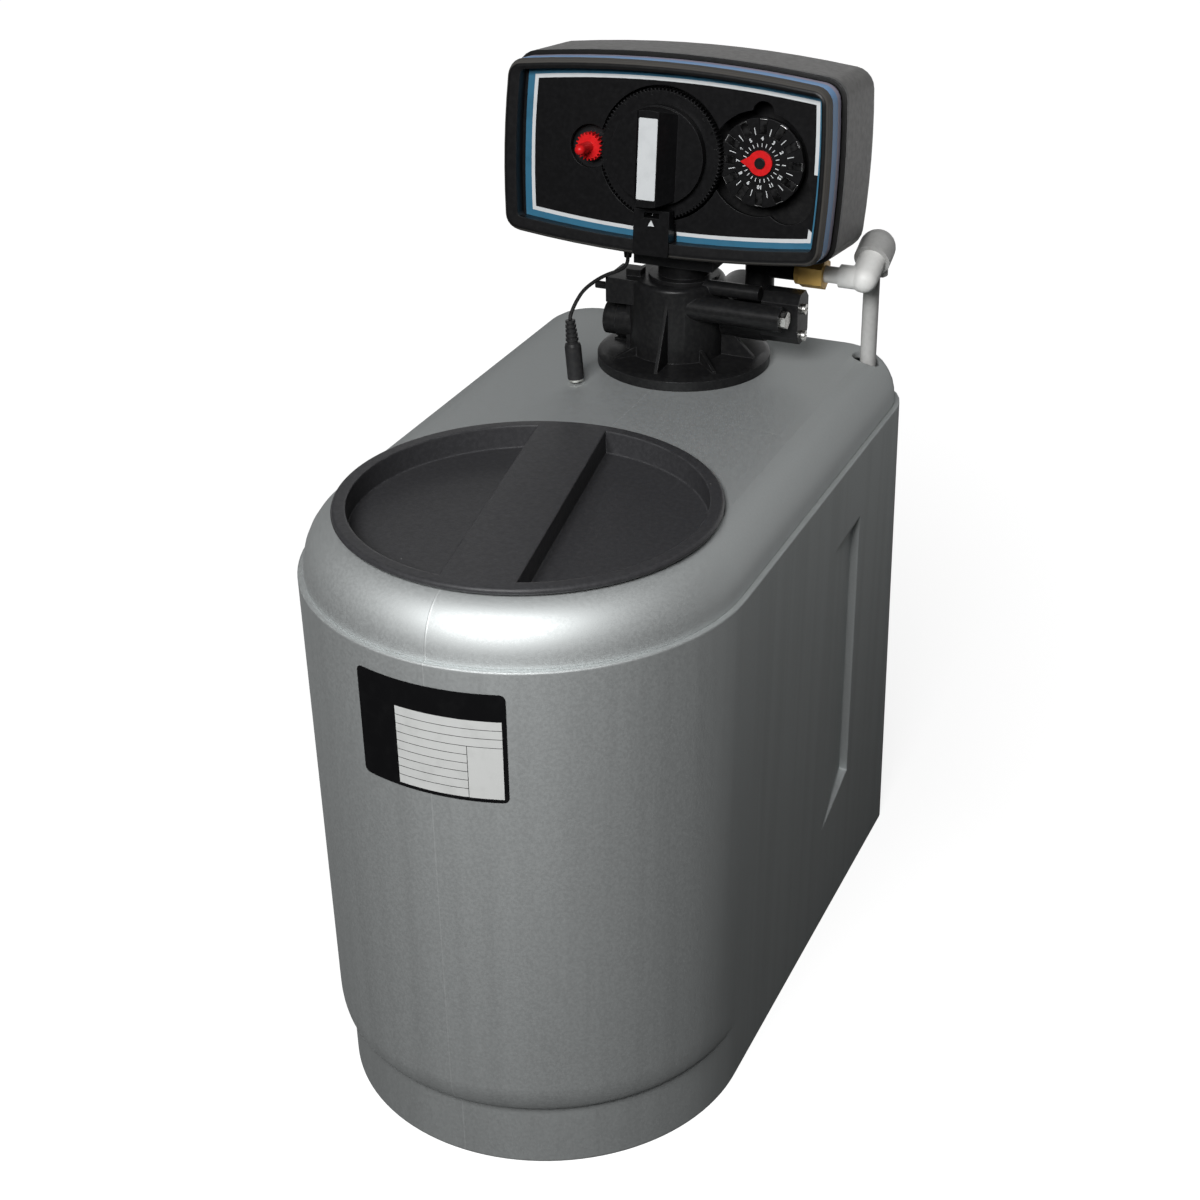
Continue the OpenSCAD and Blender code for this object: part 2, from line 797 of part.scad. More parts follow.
module cabinet_cover() {
    sweep = [for (i = [0:round_steps]) 90 * i / round_steps];
    skirt = tank_wall + slip;
    inside = skirt + cover_wall;
    color("silver") difference() {
        loft(concat(
            [for (i = [round_steps:-1:0]) let (t = sweep[i])
                cabinet_ring(shoulder_height + (cover_rise - cover_wall) * pow(sin(t), cover_power),
                    inside + (cover_inset + cover_round - skirt) * (1 - pow(cos(t), cover_power)), 0)],
            [cabinet_ring(shoulder_height - skirt_depth, inside, 0),
             cabinet_ring(shoulder_height - skirt_depth, skirt, 0),
             cabinet_ring(shoulder_height, skirt, 0)],
            [for (t = sweep) cabinet_ring(shoulder_height + cover_rise * pow(sin(t), cover_power),
                cover_inset + cover_round * (1 - pow(cos(t), cover_power)), 0)]));
        at_lid() translate([0, 0, top_z - lid_seat]) cylinder(d = lid_d + 2 * slip, h = lid_rise);
        at_lid() translate([0, 0, shoulder_height])
            cylinder(r = lid_d / 2 - lid_rim + lid_wall + over, h = cover_rise);
        at_valve() translate([0, 0, shoulder_height]) cylinder(d = neck_d + 2 * neck_gap, h = 2 * cover_rise);
        translate([brine_x - hole_shift, brine_y, shoulder_height])
            cylinder(d = tube_hole_d, h = 2 * cover_rise);
    }
}

// One hand well of the lid, cut between the rim and the bar
module lid_hand_well(side) {
    rim_top = top_z - lid_seat + seat_gap + lid_rise;
    intersection() {
        translate([0, 0, rim_top - lid_well]) cylinder(r = lid_d / 2 - lid_rim, h = lid_well + over);
        translate([side > 0 ? lid_bar / 2 : -lid_d - lid_bar / 2, -lid_d, rim_top - lid_well])
            cube([lid_d, 2 * lid_d, lid_well + over]);
    }
}

module salt_lid() {
    seat = top_z - lid_seat + seat_gap;
    rim_top = seat + lid_rise;
    floor_z = rim_top - lid_well - lid_wall;
    plug_r = lid_d / 2 - lid_rim + lid_wall;
    color("dimgray") at_lid() rotate([0, 0, lid_turn]) difference() {
        rotate_extrude() polygon(concat(
            [[0, floor_z], [plug_r, floor_z], [plug_r, seat], [lid_d / 2 - lid_rim / 2, seat]],
            arc([lid_d / 2 - lid_bead, rim_top - lid_bead], lid_bead, -60, 90, corner_steps),
            [[0, rim_top]]));
        lid_hand_well(1);
        lid_hand_well(-1);
        intersection() {
            translate([0, 0, floor_z - over]) cylinder(r = plug_r - lid_wall, h = lid_well + over);
            translate([lid_wall - lid_bar / 2, -lid_d, floor_z - over])
                cube([lid_bar - 2 * lid_wall, 2 * lid_d, lid_well + over]);
        }
    }
}

module rating_plate() {
    high = shoulder_height - plate_drop;
    low = high - plate_height;
    color("black") at_lid() rotate([0, 0, -90 - plate_angle / 2]) rotate_extrude(angle = plate_angle)
        polygon([[front_r(low), low], [front_r(low) + plate_t, low],
            [front_r(high) + plate_t, high], [front_r(high), high]]);
}

module resin_vessel() {
    neck_r = neck_d / 2;
    throat_r = thread_d / 2 + slip;
    function section(wall, neck) =
        concat(vessel_bottom(wall), vessel_shoulder(wall, neck), [[neck, neck_top]]);
    inside = section(vessel_wall, throat_r);
    color("steelblue") at_valve() rotate_extrude()
        polygon(concat(section(0, neck_r), [for (i = [len(inside) - 1:-1:0]) inside[i]]));
}

module vessel_base() {
    outer = vessel_r - base_inset;
    top = [for (p = vessel_bottom(0)) if (p[0] > base_inner && p[0] < outer) [p[0], p[1] - slip]];
    color("black") at_valve() rotate_extrude() polygon(concat(
        [[base_inner, tank_wall], [outer, tank_wall], [outer, dome_at(outer) - base_lip]],
        [for (i = [len(top) - 1:-1:0]) top[i]],
        [[base_inner, dome_at(base_inner)]]));
}

module riser_tube() {
    color("white") at_valve() translate([0, 0, pipe_low])
        tube(riser_d / 2, riser_d / 2 - riser_wall, flange_z - riser_gap - pipe_low);
}

// Ring of upright slots through a distributor's wall
module distributor_slots(low, h, reach) {
    for (i = [0:slot_count - 1]) rotate([0, 0, 360 * i / slot_count])
        translate([riser_d / 2 + slot_wall, -slot_w / 2, low]) cube([reach, slot_w, h]);
}

module lower_distributor() {
    color("white") at_valve() difference() {
        translate([0, 0, basket_z]) cylinder(r = basket_r, h = basket_h);
        translate([0, 0, pipe_low]) cylinder(r = riser_d / 2 + slip, h = basket_h);
        distributor_slots(pipe_low, basket_h - basket_cap, basket_r);
    }
}

module upper_distributor() {
    low = spigot_z - strainer_h;
    outer = thread_d / 2 - strainer_inset;
    color("white") at_valve() difference() {
        translate([0, 0, low]) cylinder(r1 = outer - strainer_taper, r2 = outer, h = strainer_h);
        translate([0, 0, low - over]) cylinder(r = riser_d / 2 + slip, h = strainer_h + 2 * over);
        distributor_slots(low + strainer_slot_low, strainer_slot_h, outer);
    }
}

module tank_oring() {
    color("black") at_valve() translate([0, 0, neck_top + oring_d / 2]) rotate_extrude()
        translate([(thread_d + neck_d) / 4, 0]) circle(d = oring_d - 2 * fit);
}

// Upright stiffening rib on the flange, from the drum outwards
module flange_rib(turn, high) {
    inner = drum_d / 2 - rib_root;
    outer = flange_d / 2 - rib_end;
    at_valve() rotate([0, 0, turn]) translate([0, rib_t / 2, drum_z - over]) rotate([90, 0, 0])
        linear_extrude(rib_t)
            polygon([[inner, 0], [outer, 0], [outer, rib_tip], [drum_d / 2 - over, high], [inner, high]]);
}

module valve_body() {
    thread_r = thread_d / 2;
    flange_r = flange_d / 2;
    color("black") difference() {
        union() {
            at_valve() rotate_extrude() polygon([
                [0, spigot_z], [thread_r, spigot_z], [thread_r, flange_z], [flange_r, flange_z],
                [flange_r, drum_z - flange_edge], [flange_r - flange_chamfer, drum_z], [0, drum_z]]);
            translate([drum_shift, axis_y, 0]) rotate_extrude() polygon(concat(
                [[0, drum_z - over], [drum_d / 2, drum_z - over]],
                arc([drum_d / 2 - drum_round, drum_top - drum_round], drum_round, 0, 90, corner_steps),
                [[0, drum_top]]));
            flange_rib(-90, drum_h - rib_low);
            flange_rib(0, rib_middle);
            for (turn = [-45, -135, 180]) flange_rib(turn, rib_low);
            for (side = [-1, 1]) rod_y([side * port_spacing / 2, axis_y, port_z], port_r, port_len);
            rod_x([drain_end, drain_y, drain_z], drain_r, -drain_end);
            at_drum() translate(side_box_at) cube(side_box);
            at_drum() rod_x(side_pin_at, side_pin_r, side_pin_len);
            at_drum() translate(strut_at) cube(strut);
            rod_x([0, injector_y, injector_z], injector_r, injector_end);
            rod_x([0, bypass_y, drum_top - bypass_drop], bypass_r, block_x);
            rod_x([0, arm_y, arm_z], arm_r, block_x);
            at_brine_valve(arm_z) cylinder(d = brine_valve_d, h = valve_seat_z - arm_z);
            translate([brine_valve_x - bridge_w / 2, arm_y, arm_z - bridge_h / 2])
                cube([bridge_w, brine_valve_y - arm_y, bridge_h]);
        }
        at_valve() translate([0, 0, bore_floor]) cylinder(d = seal_bore_d, h = drum_h);
        at_valve() translate([0, 0, plug_z]) cylinder(d = plug_d + 2 * plug_bore_gap, h = drum_h);
        at_valve() translate([0, 0, spigot_z - over])
            cylinder(r = riser_d / 2 + slip, h = flange_z - spigot_z);
        for (side = [-1, 1]) rod_y([side * port_spacing / 2, axis_y + port_len - port_depth, port_z],
            port_bore_d / 2, port_depth + over);
        rod_x([injector_end - nozzle_depth, injector_y, injector_z], nozzle_r, nozzle_depth + over);
        rod_x([drain_end - over, drain_y, drain_z], drain_socket_r, drain_socket_depth + over);
        at_brine_valve(valve_seat_z - stem_drop - stem_room)
            cylinder(r = stem_r + stem_play, h = stem_drop + stem_room + over);
    }
}

module valve_seals() {
    color("dimgray") at_valve() for (i = [0:seal_count - 1])
        translate([0, 0, bore_floor + i * (seal_h + spacer_h) + fit])
            tube(seal_bore_d / 2 - fit, piston_d / 2 + fit, seal_h - 2 * fit);
}

module seal_spacers() {
    window_h = spacer_h - 2 * spacer_edge;
    color("white") at_valve() for (i = [0:seal_count - 2])
        translate([0, 0, bore_floor + seal_h + i * (seal_h + spacer_h)]) difference() {
            tube(seal_bore_d / 2 - fit, piston_d / 2 + spacer_gap, spacer_h);
            for (turn = [0, 60, 120]) rotate([0, 0, turn])
                translate([-seal_bore_d, -spacer_window / 2, spacer_edge])
                    cube([2 * seal_bore_d, spacer_window, window_h]);
        }
}

module piston() {
    r = piston_d / 2;
    waist_r = r - waist_depth;
    waist_low = piston_z + land_h;
    top = piston_z + piston_h;
    waist_high = top - land_h;
    rod_end = rod_top + yoke_root;
    slot_h = 2 * crank_pin_r + yoke_play;
    color("silver") at_valve() {
        rotate_extrude() polygon([
            [0, piston_z], [r, piston_z], [r, waist_low], [waist_r, waist_low + land_bevel],
            [waist_r, waist_high - land_bevel], [r, waist_high], [r, top],
            [rod_d / 2, top], [rod_d / 2, rod_end], [0, rod_end]]);
        translate([0, 0, rod_top]) difference() {
            translate([-yoke_w / 2, -yoke_t / 2, 0]) cube([yoke_w, yoke_t, yoke_h]);
            translate([yoke_side - yoke_w / 2, -over - yoke_t / 2, (yoke_h - slot_h) / 2])
                cube([yoke_w - 2 * yoke_side, yoke_t + 2 * over, slot_h]);
        }
    }
}

module end_plug() {
    color("black") at_valve() translate([0, 0, plug_z]) difference() {
        union() {
            cylinder(d = plug_d, h = plug_step);
            cylinder(d = plug_top_d, h = plug_h);
        }
        translate([0, 0, -over]) cylinder(r = rod_d / 2 + fit, h = plug_h + 2 * over);
    }
}

// Block on the side of the valve that holds the injector passages
module injector_body() {
    c = block_chamfer;
    color("black") difference() {
        translate([block_x, block_y, block_z]) rotate([90, 0, 90]) linear_extrude(block_w)
            polygon([[c, 0], [block_d - c, 0], [block_d, c], [block_d, block_h - c],
                [block_d - c, block_h], [c, block_h], [0, block_h - c], [0, c]]);
        rod_x([block_x - over, arm_y, arm_z], passage_r, passage_len);
    }
}

module injector_nozzle() {
    start = injector_end - nozzle_depth + nozzle_gap;
    color("ivory") difference() {
        rod_x([start, injector_y, injector_z], nozzle_r - fit, nozzle_len);
        rod_x([start - over, injector_y, injector_z], nozzle_bore_r, nozzle_len + 2 * over);
    }
}

// Hexagon plug over the nozzle and the two slotted screws of the injector block
module injector_screws() {
    color("gainsboro") {
        rod_x([injector_end - hex_shank, injector_y, injector_z], nozzle_r - fit, hex_shank);
        hex_x([injector_end, injector_y, injector_z], hex_r, hex_h);
        for (rise = [block_screw_low, block_screw_high])
            translate([block_x + block_w, block_y + block_d / 2, block_z + rise]) difference() {
                rotate([0, 90, 0]) cylinder(r = block_screw_r, h = block_screw_h);
                translate([driver_slot[0], -driver_slot[1] / 2, -driver_slot[2] / 2])
                    cube([block_screw_h, driver_slot[1], driver_slot[2]]);
            }
    }
}

module brine_valve_body() {
    color("black") difference() {
        union() {
            at_brine_valve(valve_seat_z) cylinder(d = brine_valve_d, h = brine_valve_top - valve_seat_z);
            rod_x([brine_valve_x, brine_valve_y, brine_z], valve_boss_r, nut_x - brine_valve_x);
        }
        at_brine_valve(valve_floor) cylinder(r = valve_bore_r, h = brine_valve_top - valve_floor - valve_cap);
        at_brine_valve(valve_seat_z - over)
            cylinder(r = stem_r + fit, h = brine_valve_top - valve_seat_z + 2 * over);
        rod_x([brine_valve_x, brine_valve_y, brine_z], leg_bore, nut_x - brine_valve_x + over);
    }
}

module brine_valve_stem() {
    color("goldenrod") {
        at_brine_valve(stem_disc) cylinder(r = valve_bore_r - fit, h = stem_disc_t);
        at_brine_valve(stem_low) cylinder(r = stem_r, h = stem_button_z - stem_low);
        at_brine_valve(stem_button_z - eps) cylinder(r = stem_r + stem_button_rim, h = stem_button_t);
    }
}

// Return spring inside the brine valve, one unbroken round wire
module brine_valve_spring() {
    count = spring_turns * spring_steps;
    rise = (spring_high - spring_low - 2 * spring_wire) / count;
    rings = [for (i = [count:-1:0])
        let (a = 360 * i / spring_steps)
        [for (k = [0:wire_sides - 1])
            let (b = 360 * k / wire_sides)
            let (r = spring_r + spring_wire * cos(b))
            [r * cos(a), r * sin(a), spring_low + spring_wire + i * rise + spring_wire * sin(b)]]];
    color("gainsboro") at_brine_valve(0) loft(rings);
}

module drain_fitting() {
    bore_len = drain_len + drain_stop + over;
    color("black") difference() {
        union() {
            rod_x([drain_end, drain_y, drain_z], drain_socket_r - slip, drain_spigot_len);
            rod_x([drain_end - drain_len, drain_y, drain_z], drain_r - drain_step, drain_len);
        }
        rod_x([drain_end - drain_len - over, drain_y, drain_z], drain_bore_d / 2, bore_len);
    }
}

module brine_nut() {
    corner_r = nut_across / cos(30) / 2;
    color("goldenrod") difference() {
        union() {
            rod_x([nut_x, brine_valve_y, brine_z], nut_across / 2 - nut_collar_step, nut_collar);
            hex_x([nut_x + nut_collar, brine_valve_y, brine_z], corner_r, nut_len - nut_collar);
        }
        rod_x([nut_x - over, brine_valve_y, brine_z], stub_r + slip, nut_len + 2 * over);
    }
}

// Frame of the elbow's second leg: local z runs back and up to the connector
module along_leg() {
    translate([elbow_x, brine_valve_y, brine_z]) rotate([leg_tilt - 90, 0, 0]) children();
}

module brine_elbow() {
    root = socket_r + leg_root;
    color("white") difference() {
        union() {
            rod_x([stub_start, brine_valve_y, brine_z], stub_r, elbow_x - stub_start);
            rod_x([elbow_x - root, brine_valve_y, brine_z], leg_r, root);
            along_leg() rotate_extrude() polygon(concat(
                arc([0, 0], socket_r, -90, 0, corner_steps), [[socket_r, leg_len], [0, leg_len]]));
        }
        rod_x([stub_start - over, brine_valve_y, brine_z], leg_bore, elbow_x - stub_start + over);
        along_leg() cylinder(r = rise_bore, h = leg_len + over);
    }
}

// Grey push-in connector that turns the line down into the tank
module tube_connector() {
    trim = 2 * ring_r;
    color("darkgray") difference() {
        union() {
            along_leg() rotate_extrude() polygon(concat(
                [[0, leg_len], [ring_r, leg_len]], arc([0, leg_reach], ring_r, 0, 90, corner_steps)));
            translate([(brine_x + elbow_x) / 2, brine_y, connector_low])
                cylinder(r = connector_r, h = connector_drop);
        }
        along_leg() cylinder(r = rise_bore, h = leg_reach);
        translate([brine_x, brine_y, connector_low - over])
            cylinder(r = tube_d / 2 + slip, h = tube_top - connector_low + over);
        along_leg() translate([0, 0, leg_len - trim]) cylinder(r = trim, h = trim);
    }
}

module brine_tube() {
    color("darkgray") translate([brine_x, brine_y, tube_bottom])
        tube(tube_d / 2, tube_d / 2 - tube_wall, tube_top - tube_bottom);
}

module brine_well() {
    color("white") translate([brine_x + well_shift[0], brine_y + well_shift[1], tank_wall]) difference() {
        tube(well_d / 2, well_d / 2 - well_wall, well_height);
        for (turn = [0, 60, 120], row = [0:well_rows - 1]) rotate([0, 0, turn])
            translate([-well_d, -well_slot[0] / 2, well_slot_low + well_slot_step * row])
                cube([2 * well_d, well_slot[0], well_slot[1]]);
    }
}

module brine_pickup() {
    cone_h = cage_z - seat_z + eps;
    socket_z = tube_bottom - pickup_z;
    color("white") translate([brine_x, brine_y, pickup_z]) difference() {
        cylinder(r = pickup_r, h = pickup_top - pickup_z);
        translate([0, 0, cage_z]) cylinder(r = ball_r + ball_room, h = socket_z - cage_z - pickup_stop);
        translate([0, 0, seat_z]) cylinder(r1 = seat_r, r2 = seat_r + cone_h, h = cone_h);
        translate([0, 0, -over]) cylinder(r = seat_r, h = pickup_top);
        translate([0, 0, socket_z]) cylinder(r = tube_d / 2 + slip, h = 2 * pickup_r);
        for (turn = [0, 90]) rotate([0, 0, turn])
            translate([-pickup_r - over, -pickup_slot[0] / 2, cage_z + pickup_slot_low])
                cube([2 * pickup_r + 2 * over, pickup_slot[0], pickup_slot[1]]);
    }
}

// Ball that lies on the cone of the pickup and shuts it off when the brine is drawn down
module air_check_ball() {
    color("tomato") translate([brine_x, brine_y, ball_z]) sphere(r = ball_r);
}

module head_housing() {
    bend = [for (i = [0:round_steps]) 90 * i / round_steps];
    inner = housing_grow - head_wall;
    floor_w = housing_back + head_wall;
    slot_w0 = housing_back + foot_slot_back;
    color("dimgray") difference() {
        union() {
            in_head() loft(concat(
                [for (t = bend)
                    head_ring(housing_grow - housing_round * (1 - sin(t)),
                        housing_back + housing_round * (1 - cos(t)))],
                [head_ring(housing_grow, groove_back), head_ring(inner, groove_back)],
                [for (i = [round_steps:-1:0]) let (t = bend[i])
                    head_ring(inner - housing_round * (1 - sin(t)),
                        floor_w + housing_round * (1 - cos(t)))]));
            at_posts(floor_w - eps) cylinder(r = post_r, h = plate_back - floor_w + eps);
        }
        at_posts(plate_back - screw_len) cylinder(r = screw_r - screw_bite, h = screw_len + over);
        at_dial(foot_x - panel_x - foot_gap, -bezel_h, slot_w0)
            cube([foot_slot_w + foot_gap, bezel_h / 2 + 2 * head_wall, riser_front + foot_gap - slot_w0]);
        at_dial(gland_u, head_wall - bezel_h / 2, gland_w) rotate([90, 0, 0])
            cylinder(r = gland_r + fit, h = bezel_h / 2);
    }
}

module head_bezel() {
    bend = [for (i = [0:corner_steps]) 90 * i / corner_steps];
    color("black") in_head() loft(loop = true, rings = concat(
        [head_ring(neck_grow - head_wall, neck_back), head_ring(neck_grow, neck_back),
         head_ring(neck_grow, bezel_back), head_ring(bezel_flare, bezel_back)],
        [for (t = bend) head_ring(bezel_edge * (cos(t) - 1), bezel_reach - bezel_edge + bezel_edge * sin(t))],
        [panel_ring(panel_inset + lip, bezel_reach - lip_drop), panel_ring(panel_inset + lip, 0),
         panel_ring(panel_inset, 0), panel_ring(panel_inset, -panel_t - panel_seat),
         head_ring(neck_grow - head_wall, -panel_t - panel_taper)]));
}

module bezel_stripe() {
    color("skyblue") in_head() loft(loop = true, rings = [
        head_ring(neck_grow + fit, stripe_back), head_ring(bezel_flare, stripe_back),
        head_ring(bezel_flare, bezel_back - fit), head_ring(neck_grow + fit, bezel_back - fit)]);
}

// Round hole right through the dial panel
module panel_hole(u, v, r) { at_dial(u, v, -over - panel_t) cylinder(r = r, h = panel_t + 2 * over); }

module dial_panel() {
    color("black") difference() {
        at_dial(0, 0, -panel_t) linear_extrude(panel_t)
            polygon([for (p = panel_ring(panel_inset + slip, 0)) [p[0], p[1]]]);
        panel_hole(knob_u, knob_v, day_r + day_module + panel_gear_gap);
        panel_hole(pinion_u, knob_v, pinion_well_r);
        panel_hole(skip_u, skip_v, skip_well_r);
        panel_hole(skip_u + skip_notch[0], skip_v + skip_well_r + skip_notch[1], skip_notch_r);
        panel_hole(skip_u + skip_scoop[0], skip_v + skip_scoop[1], skip_scoop_r);
    }
}

// Tongue over the lower edge of the day gear, with the window that shows the hour
module time_window() {
    left = -window_w / 2;
    front = bezel_reach + window_cap;
    post_h = knob_v - day_r - 3 * day_module - window_in;
    lap_h = window_in - window_low + window_lap;
    tongue_h = window_top - window_in;
    color("black") at_dial(knob_u, 0, 0) difference() {
        union() {
            translate([left, window_low, bezel_reach]) cube([window_w, lap_h, window_cap]);
            translate([left, window_in, 0]) cube([window_w, post_h, front]);
            translate([left, window_in, window_face]) cube([window_w, tongue_h, front - window_face]);
        }
        translate([-window_hole[0] / 2, window_top - window_hole_drop, 0])
            cube([window_hole[0], window_hole[1], 2 * bezel_reach]);
    }
}

// Plate that carries the whole timer, with its foot on the valve
module gear_plate() {
    neck = neck_grow - head_wall - slip;
    root = plate_front - eps;
    foot_u = foot_x - panel_x;
    through = gear_plate_t + 2 * over;
    color("dimgray") difference() {
        union() {
            at_dial(0, 0, plate_back) linear_extrude(gear_plate_t)
                polygon(head_outline(bezel_w / 2 + neck, bezel_h / 2 + neck, head_corner + neck));
            at_knob(root) cylinder(r = hub_r + hub_step, h = gear_back - hub_step - seat_gap - plate_front);
            at_knob(root) cylinder(r = hub_r, h = gear_front - 1 - plate_front);
            at_pinion(root) cylinder(r = set_shaft_r + set_boss_wall, h = set_boss_h);
            at_skipper(root) cylinder(r = skip_step_r, h = skip_back - seat_gap - plate_front);
            at_skipper(root) cylinder(r = skip_pin_r, h = skip_front + skip_pin_over - plate_front);
            at_dial(foot_u + 2 * shelf_in, shelf_v, shelf_back + shelf_in)
                cube([foot_w - 4 * shelf_in, shelf_t, plate_back - shelf_back - shelf_in / 2]);
            at_dial(foot_u + shelf_in, riser_low, shelf_back)
                cube([foot_w - 2 * shelf_in, shelf_v + riser_over - riser_low, riser_front - shelf_back]);
            translate([foot_x, foot_y, foot_z]) cube([foot_w + foot_side, foot_depth, foot_h]);
        }
        at_valve() translate([0, 0, foot_z - over]) cylinder(r = rod_d / 2 + rod_gap, h = head_rise);
        at_knob(plate_back - over) cylinder(r = shaft_r + fit, h = gear_front - plate_back + over);
        at_pinion(plate_back - over) cylinder(r = set_shaft_r + fit, h = pinion_front - plate_back);
        at_dial(motor_u, motor_v, plate_back - over)
            cylinder(r = motor_shaft_r + motor_hole_gap, h = through);
        at_posts(plate_back - over) cylinder(r = screw_r + slip, h = through);
    }
}

module timer_motor() {
    color("darkgray") at_dial(motor_u, motor_v, plate_back - motor_t) {
        cylinder(r = motor_r, h = motor_t);
        rotate([0, 0, motor_ear_turn]) translate([-motor_ear[0], -motor_ear[1], motor_t - motor_ear_back])
            cube([2 * motor_ear[0], 2 * motor_ear[1], motor_ear[2]]);
        cylinder(r = motor_shaft_r, h = motor_t + idler_front - plate_back + motor_shaft_over);
    }
}

module motor_pinion() {
    color("goldenrod") at_dial(motor_u, motor_v, motor_gear_front - motor_gear_t)
        rotate([0, 0, train_angle + 180]) linear_extrude(motor_gear_t) difference() {
            polygon(gear_points(motor_teeth, idler_module));
            circle(r = motor_shaft_r + fit);
        }
}

module day_gear() {
    color("black") difference() {
        union() {
            at_knob(gear_back) rotate([0, 0, 180]) linear_extrude(gear_t)
                polygon(gear_points(day_teeth, day_module));
            at_knob(gear_back - hub_step) cylinder(r = hub_r + hub_wall, h = gear_t);
        }
        at_knob(gear_back - hub_step - over) cylinder(r = hub_r + fit, h = gear_t + hub_step + 2 * over);
    }
}

module main_knob() {
    half_base = knob_bar_base / 2;
    half_top = knob_bar_w / 2;
    color("black") {
        at_knob(knob_back) cylinder(d = knob_d, h = knob_t);
        intersection() {
            at_knob(knob_front) translate([0, -knob_d / 2, 0]) rotate([-90, 0, 0]) rotate([0, 0, 180])
                linear_extrude(knob_d) polygon([[-half_base, -eps], [half_base, -eps],
                    [half_top, knob_bar_h], [-half_top, knob_bar_h]]);
            at_knob(knob_back) cylinder(d = knob_d - 2 * knob_bar_inset, h = 2 * knob_bar_h);
        }
        at_knob(cam_back) cylinder(r = shaft_r, h = knob_back - cam_back + eps);
    }
}

// Cam behind the plate: its pin lifts the piston yoke, its edge works the brine valve
module drive_cam() {
    color("gainsboro") at_knob(cam_back) {
        difference() {
            union() {
                cylinder(r = cam_r, h = cam_t);
                translate([0, cam_lift, 0]) cylinder(r = cam_r, h = cam_t);
            }
            translate([0, 0, -over]) cylinder(r = shaft_r + fit, h = cam_t + 2 * over);
        }
        translate([0, -crank_r, -crank_pin_len]) cylinder(r = crank_pin_r, h = crank_pin_len + eps);
    }
}

module set_shaft() {
    color("gainsboro") at_pinion(plate_back) cylinder(r = set_shaft_r, h = pinion_front - 1 - plate_back);
}

// Red button: a pin to push, the pinion that sets the day gear and the wheel that the motor turns
module set_pinion() {
    pinion_back = pinion_front - pinion_t;
    color("red") difference() {
        union() {
            at_pinion(pinion_back) rotate([0, 0, 180 / pinion_teeth]) linear_extrude(pinion_t)
                polygon(gear_points(pinion_teeth, day_module));
            at_pinion(idler_back) cylinder(r = pinion_sleeve_r, h = pinion_back - idler_back + eps);
            at_pinion(idler_back) rotate([0, 0, train_angle + 180 / idler_teeth]) linear_extrude(idler_t)
                polygon(gear_points(idler_teeth, idler_module));
            at_pinion(pinion_front - eps) cylinder(r = pin_r, h = pin_reach - pinion_front);
            at_pinion(pin_reach) sphere(r = pin_r);
        }
        at_pinion(idler_back - over) cylinder(r = set_shaft_r + fit, h = pinion_front - idler_back);
    }
}

module skipper_wheel() {
    groove = tab_w + 2 * slip;
    color("black") at_skipper(skip_back) difference() {
        cylinder(d = skipper_d, h = skip_t);
        translate([0, 0, -over]) cylinder(r = skip_pin_r + fit, h = skip_t + 2 * over);
        for (i = [0:tab_count - 1]) rotate([0, 0, 360 * i / tab_count])
            translate([tab_in - slip, -groove / 2, skip_t - tab_t - slip])
                cube([skipper_d, groove, 2 * tab_t]);
    }
}

// One day tab, lying in its groove of the skipper wheel
module skip_tab(i) {
    color("lightgray") at_skipper(skip_front - tab_t) rotate([0, 0, 360 * (i - 1) / tab_count])
        translate([tab_in, -tab_w / 2, 0]) cube([tab_len, tab_w, tab_t]);
}

module skip_pointer() {
    root = pointer_root - pointer_r;
    color("red") at_skipper(skip_front + seat_gap) difference() {
        union() {
            cylinder(r = pointer_r, h = pointer_t);
            linear_extrude(pointer_t)
                polygon([[root, pointer_half], [-pointer_r - pointer_tip, 0], [root, -pointer_half]]);
        }
        translate([0, 0, -over]) cylinder(r = skip_pin_r + fit, h = pointer_t + 2 * over);
    }
}

module head_screws() {
    shank = screw_len - gear_plate_t;
    color("gainsboro") {
        at_posts(plate_front) cylinder(r = screw_head_r, h = screw_head_h);
        at_posts(plate_front - shank) cylinder(r = screw_r - screw_thin, h = shank + eps);
    }
}

module lead_gland() {
    low = gland_top - gland_head_t - gland_len;
    color("black") at_dial(gland_u, low, gland_w) rotate([-90, 0, 0]) difference() {
        union() {
            cylinder(r1 = lead_d / 2 + gland_wall, r2 = gland_r, h = gland_len);
            translate([0, 0, gland_len]) cylinder(r = gland_head_r, h = gland_head_t);
            translate([0, 0, gland_len]) cylinder(r = gland_r, h = gland_head_t + head_wall + gland_tail);
        }
        translate([0, 0, -over]) cylinder(r = lead_d / 2 + slip, h = gland_len / 2 + 2 * over);
    }
}

module power_lead() {
    color("black") loft([for (i = [0:len(lead_route) - 1]) lead_section(lead_route[i], lead_heading(i))]);
}

// In-line socket: a ribbed strain relief, a round body and an open mouth
module dc_socket() {
    r = socket_d / 2;
    pitch = relief_len / rib_count;
    ribs = [for (i = [0:rib_count - 1])
        let (out = relief_r + relief_grow * i)
        let (in = out - relief_groove)
        let (bend = pitch * (i + rib_share))
        each [[out, pitch * i], [out, bend], [in, bend], [in, pitch * (i + 1)]]];
    body = [[r - socket_neck[0], relief_len + socket_neck[1]], [r, relief_len + socket_shoulder],
        [r, socket_len - socket_edge[1]], [r - socket_edge[0], socket_len], [0, socket_len]];
    turn = [0, acos(socket_along[2] / socket_len), atan2(socket_along[1], socket_along[0])];
    color("black") translate(lead_end) rotate(turn) difference() {
        rotate_extrude() polygon(concat([[0, 0]], ribs, body));
        translate([0, 0, socket_len - socket_mouth_depth])
            cylinder(r = socket_mouth_r, h = socket_mouth_depth + over);
    }
}

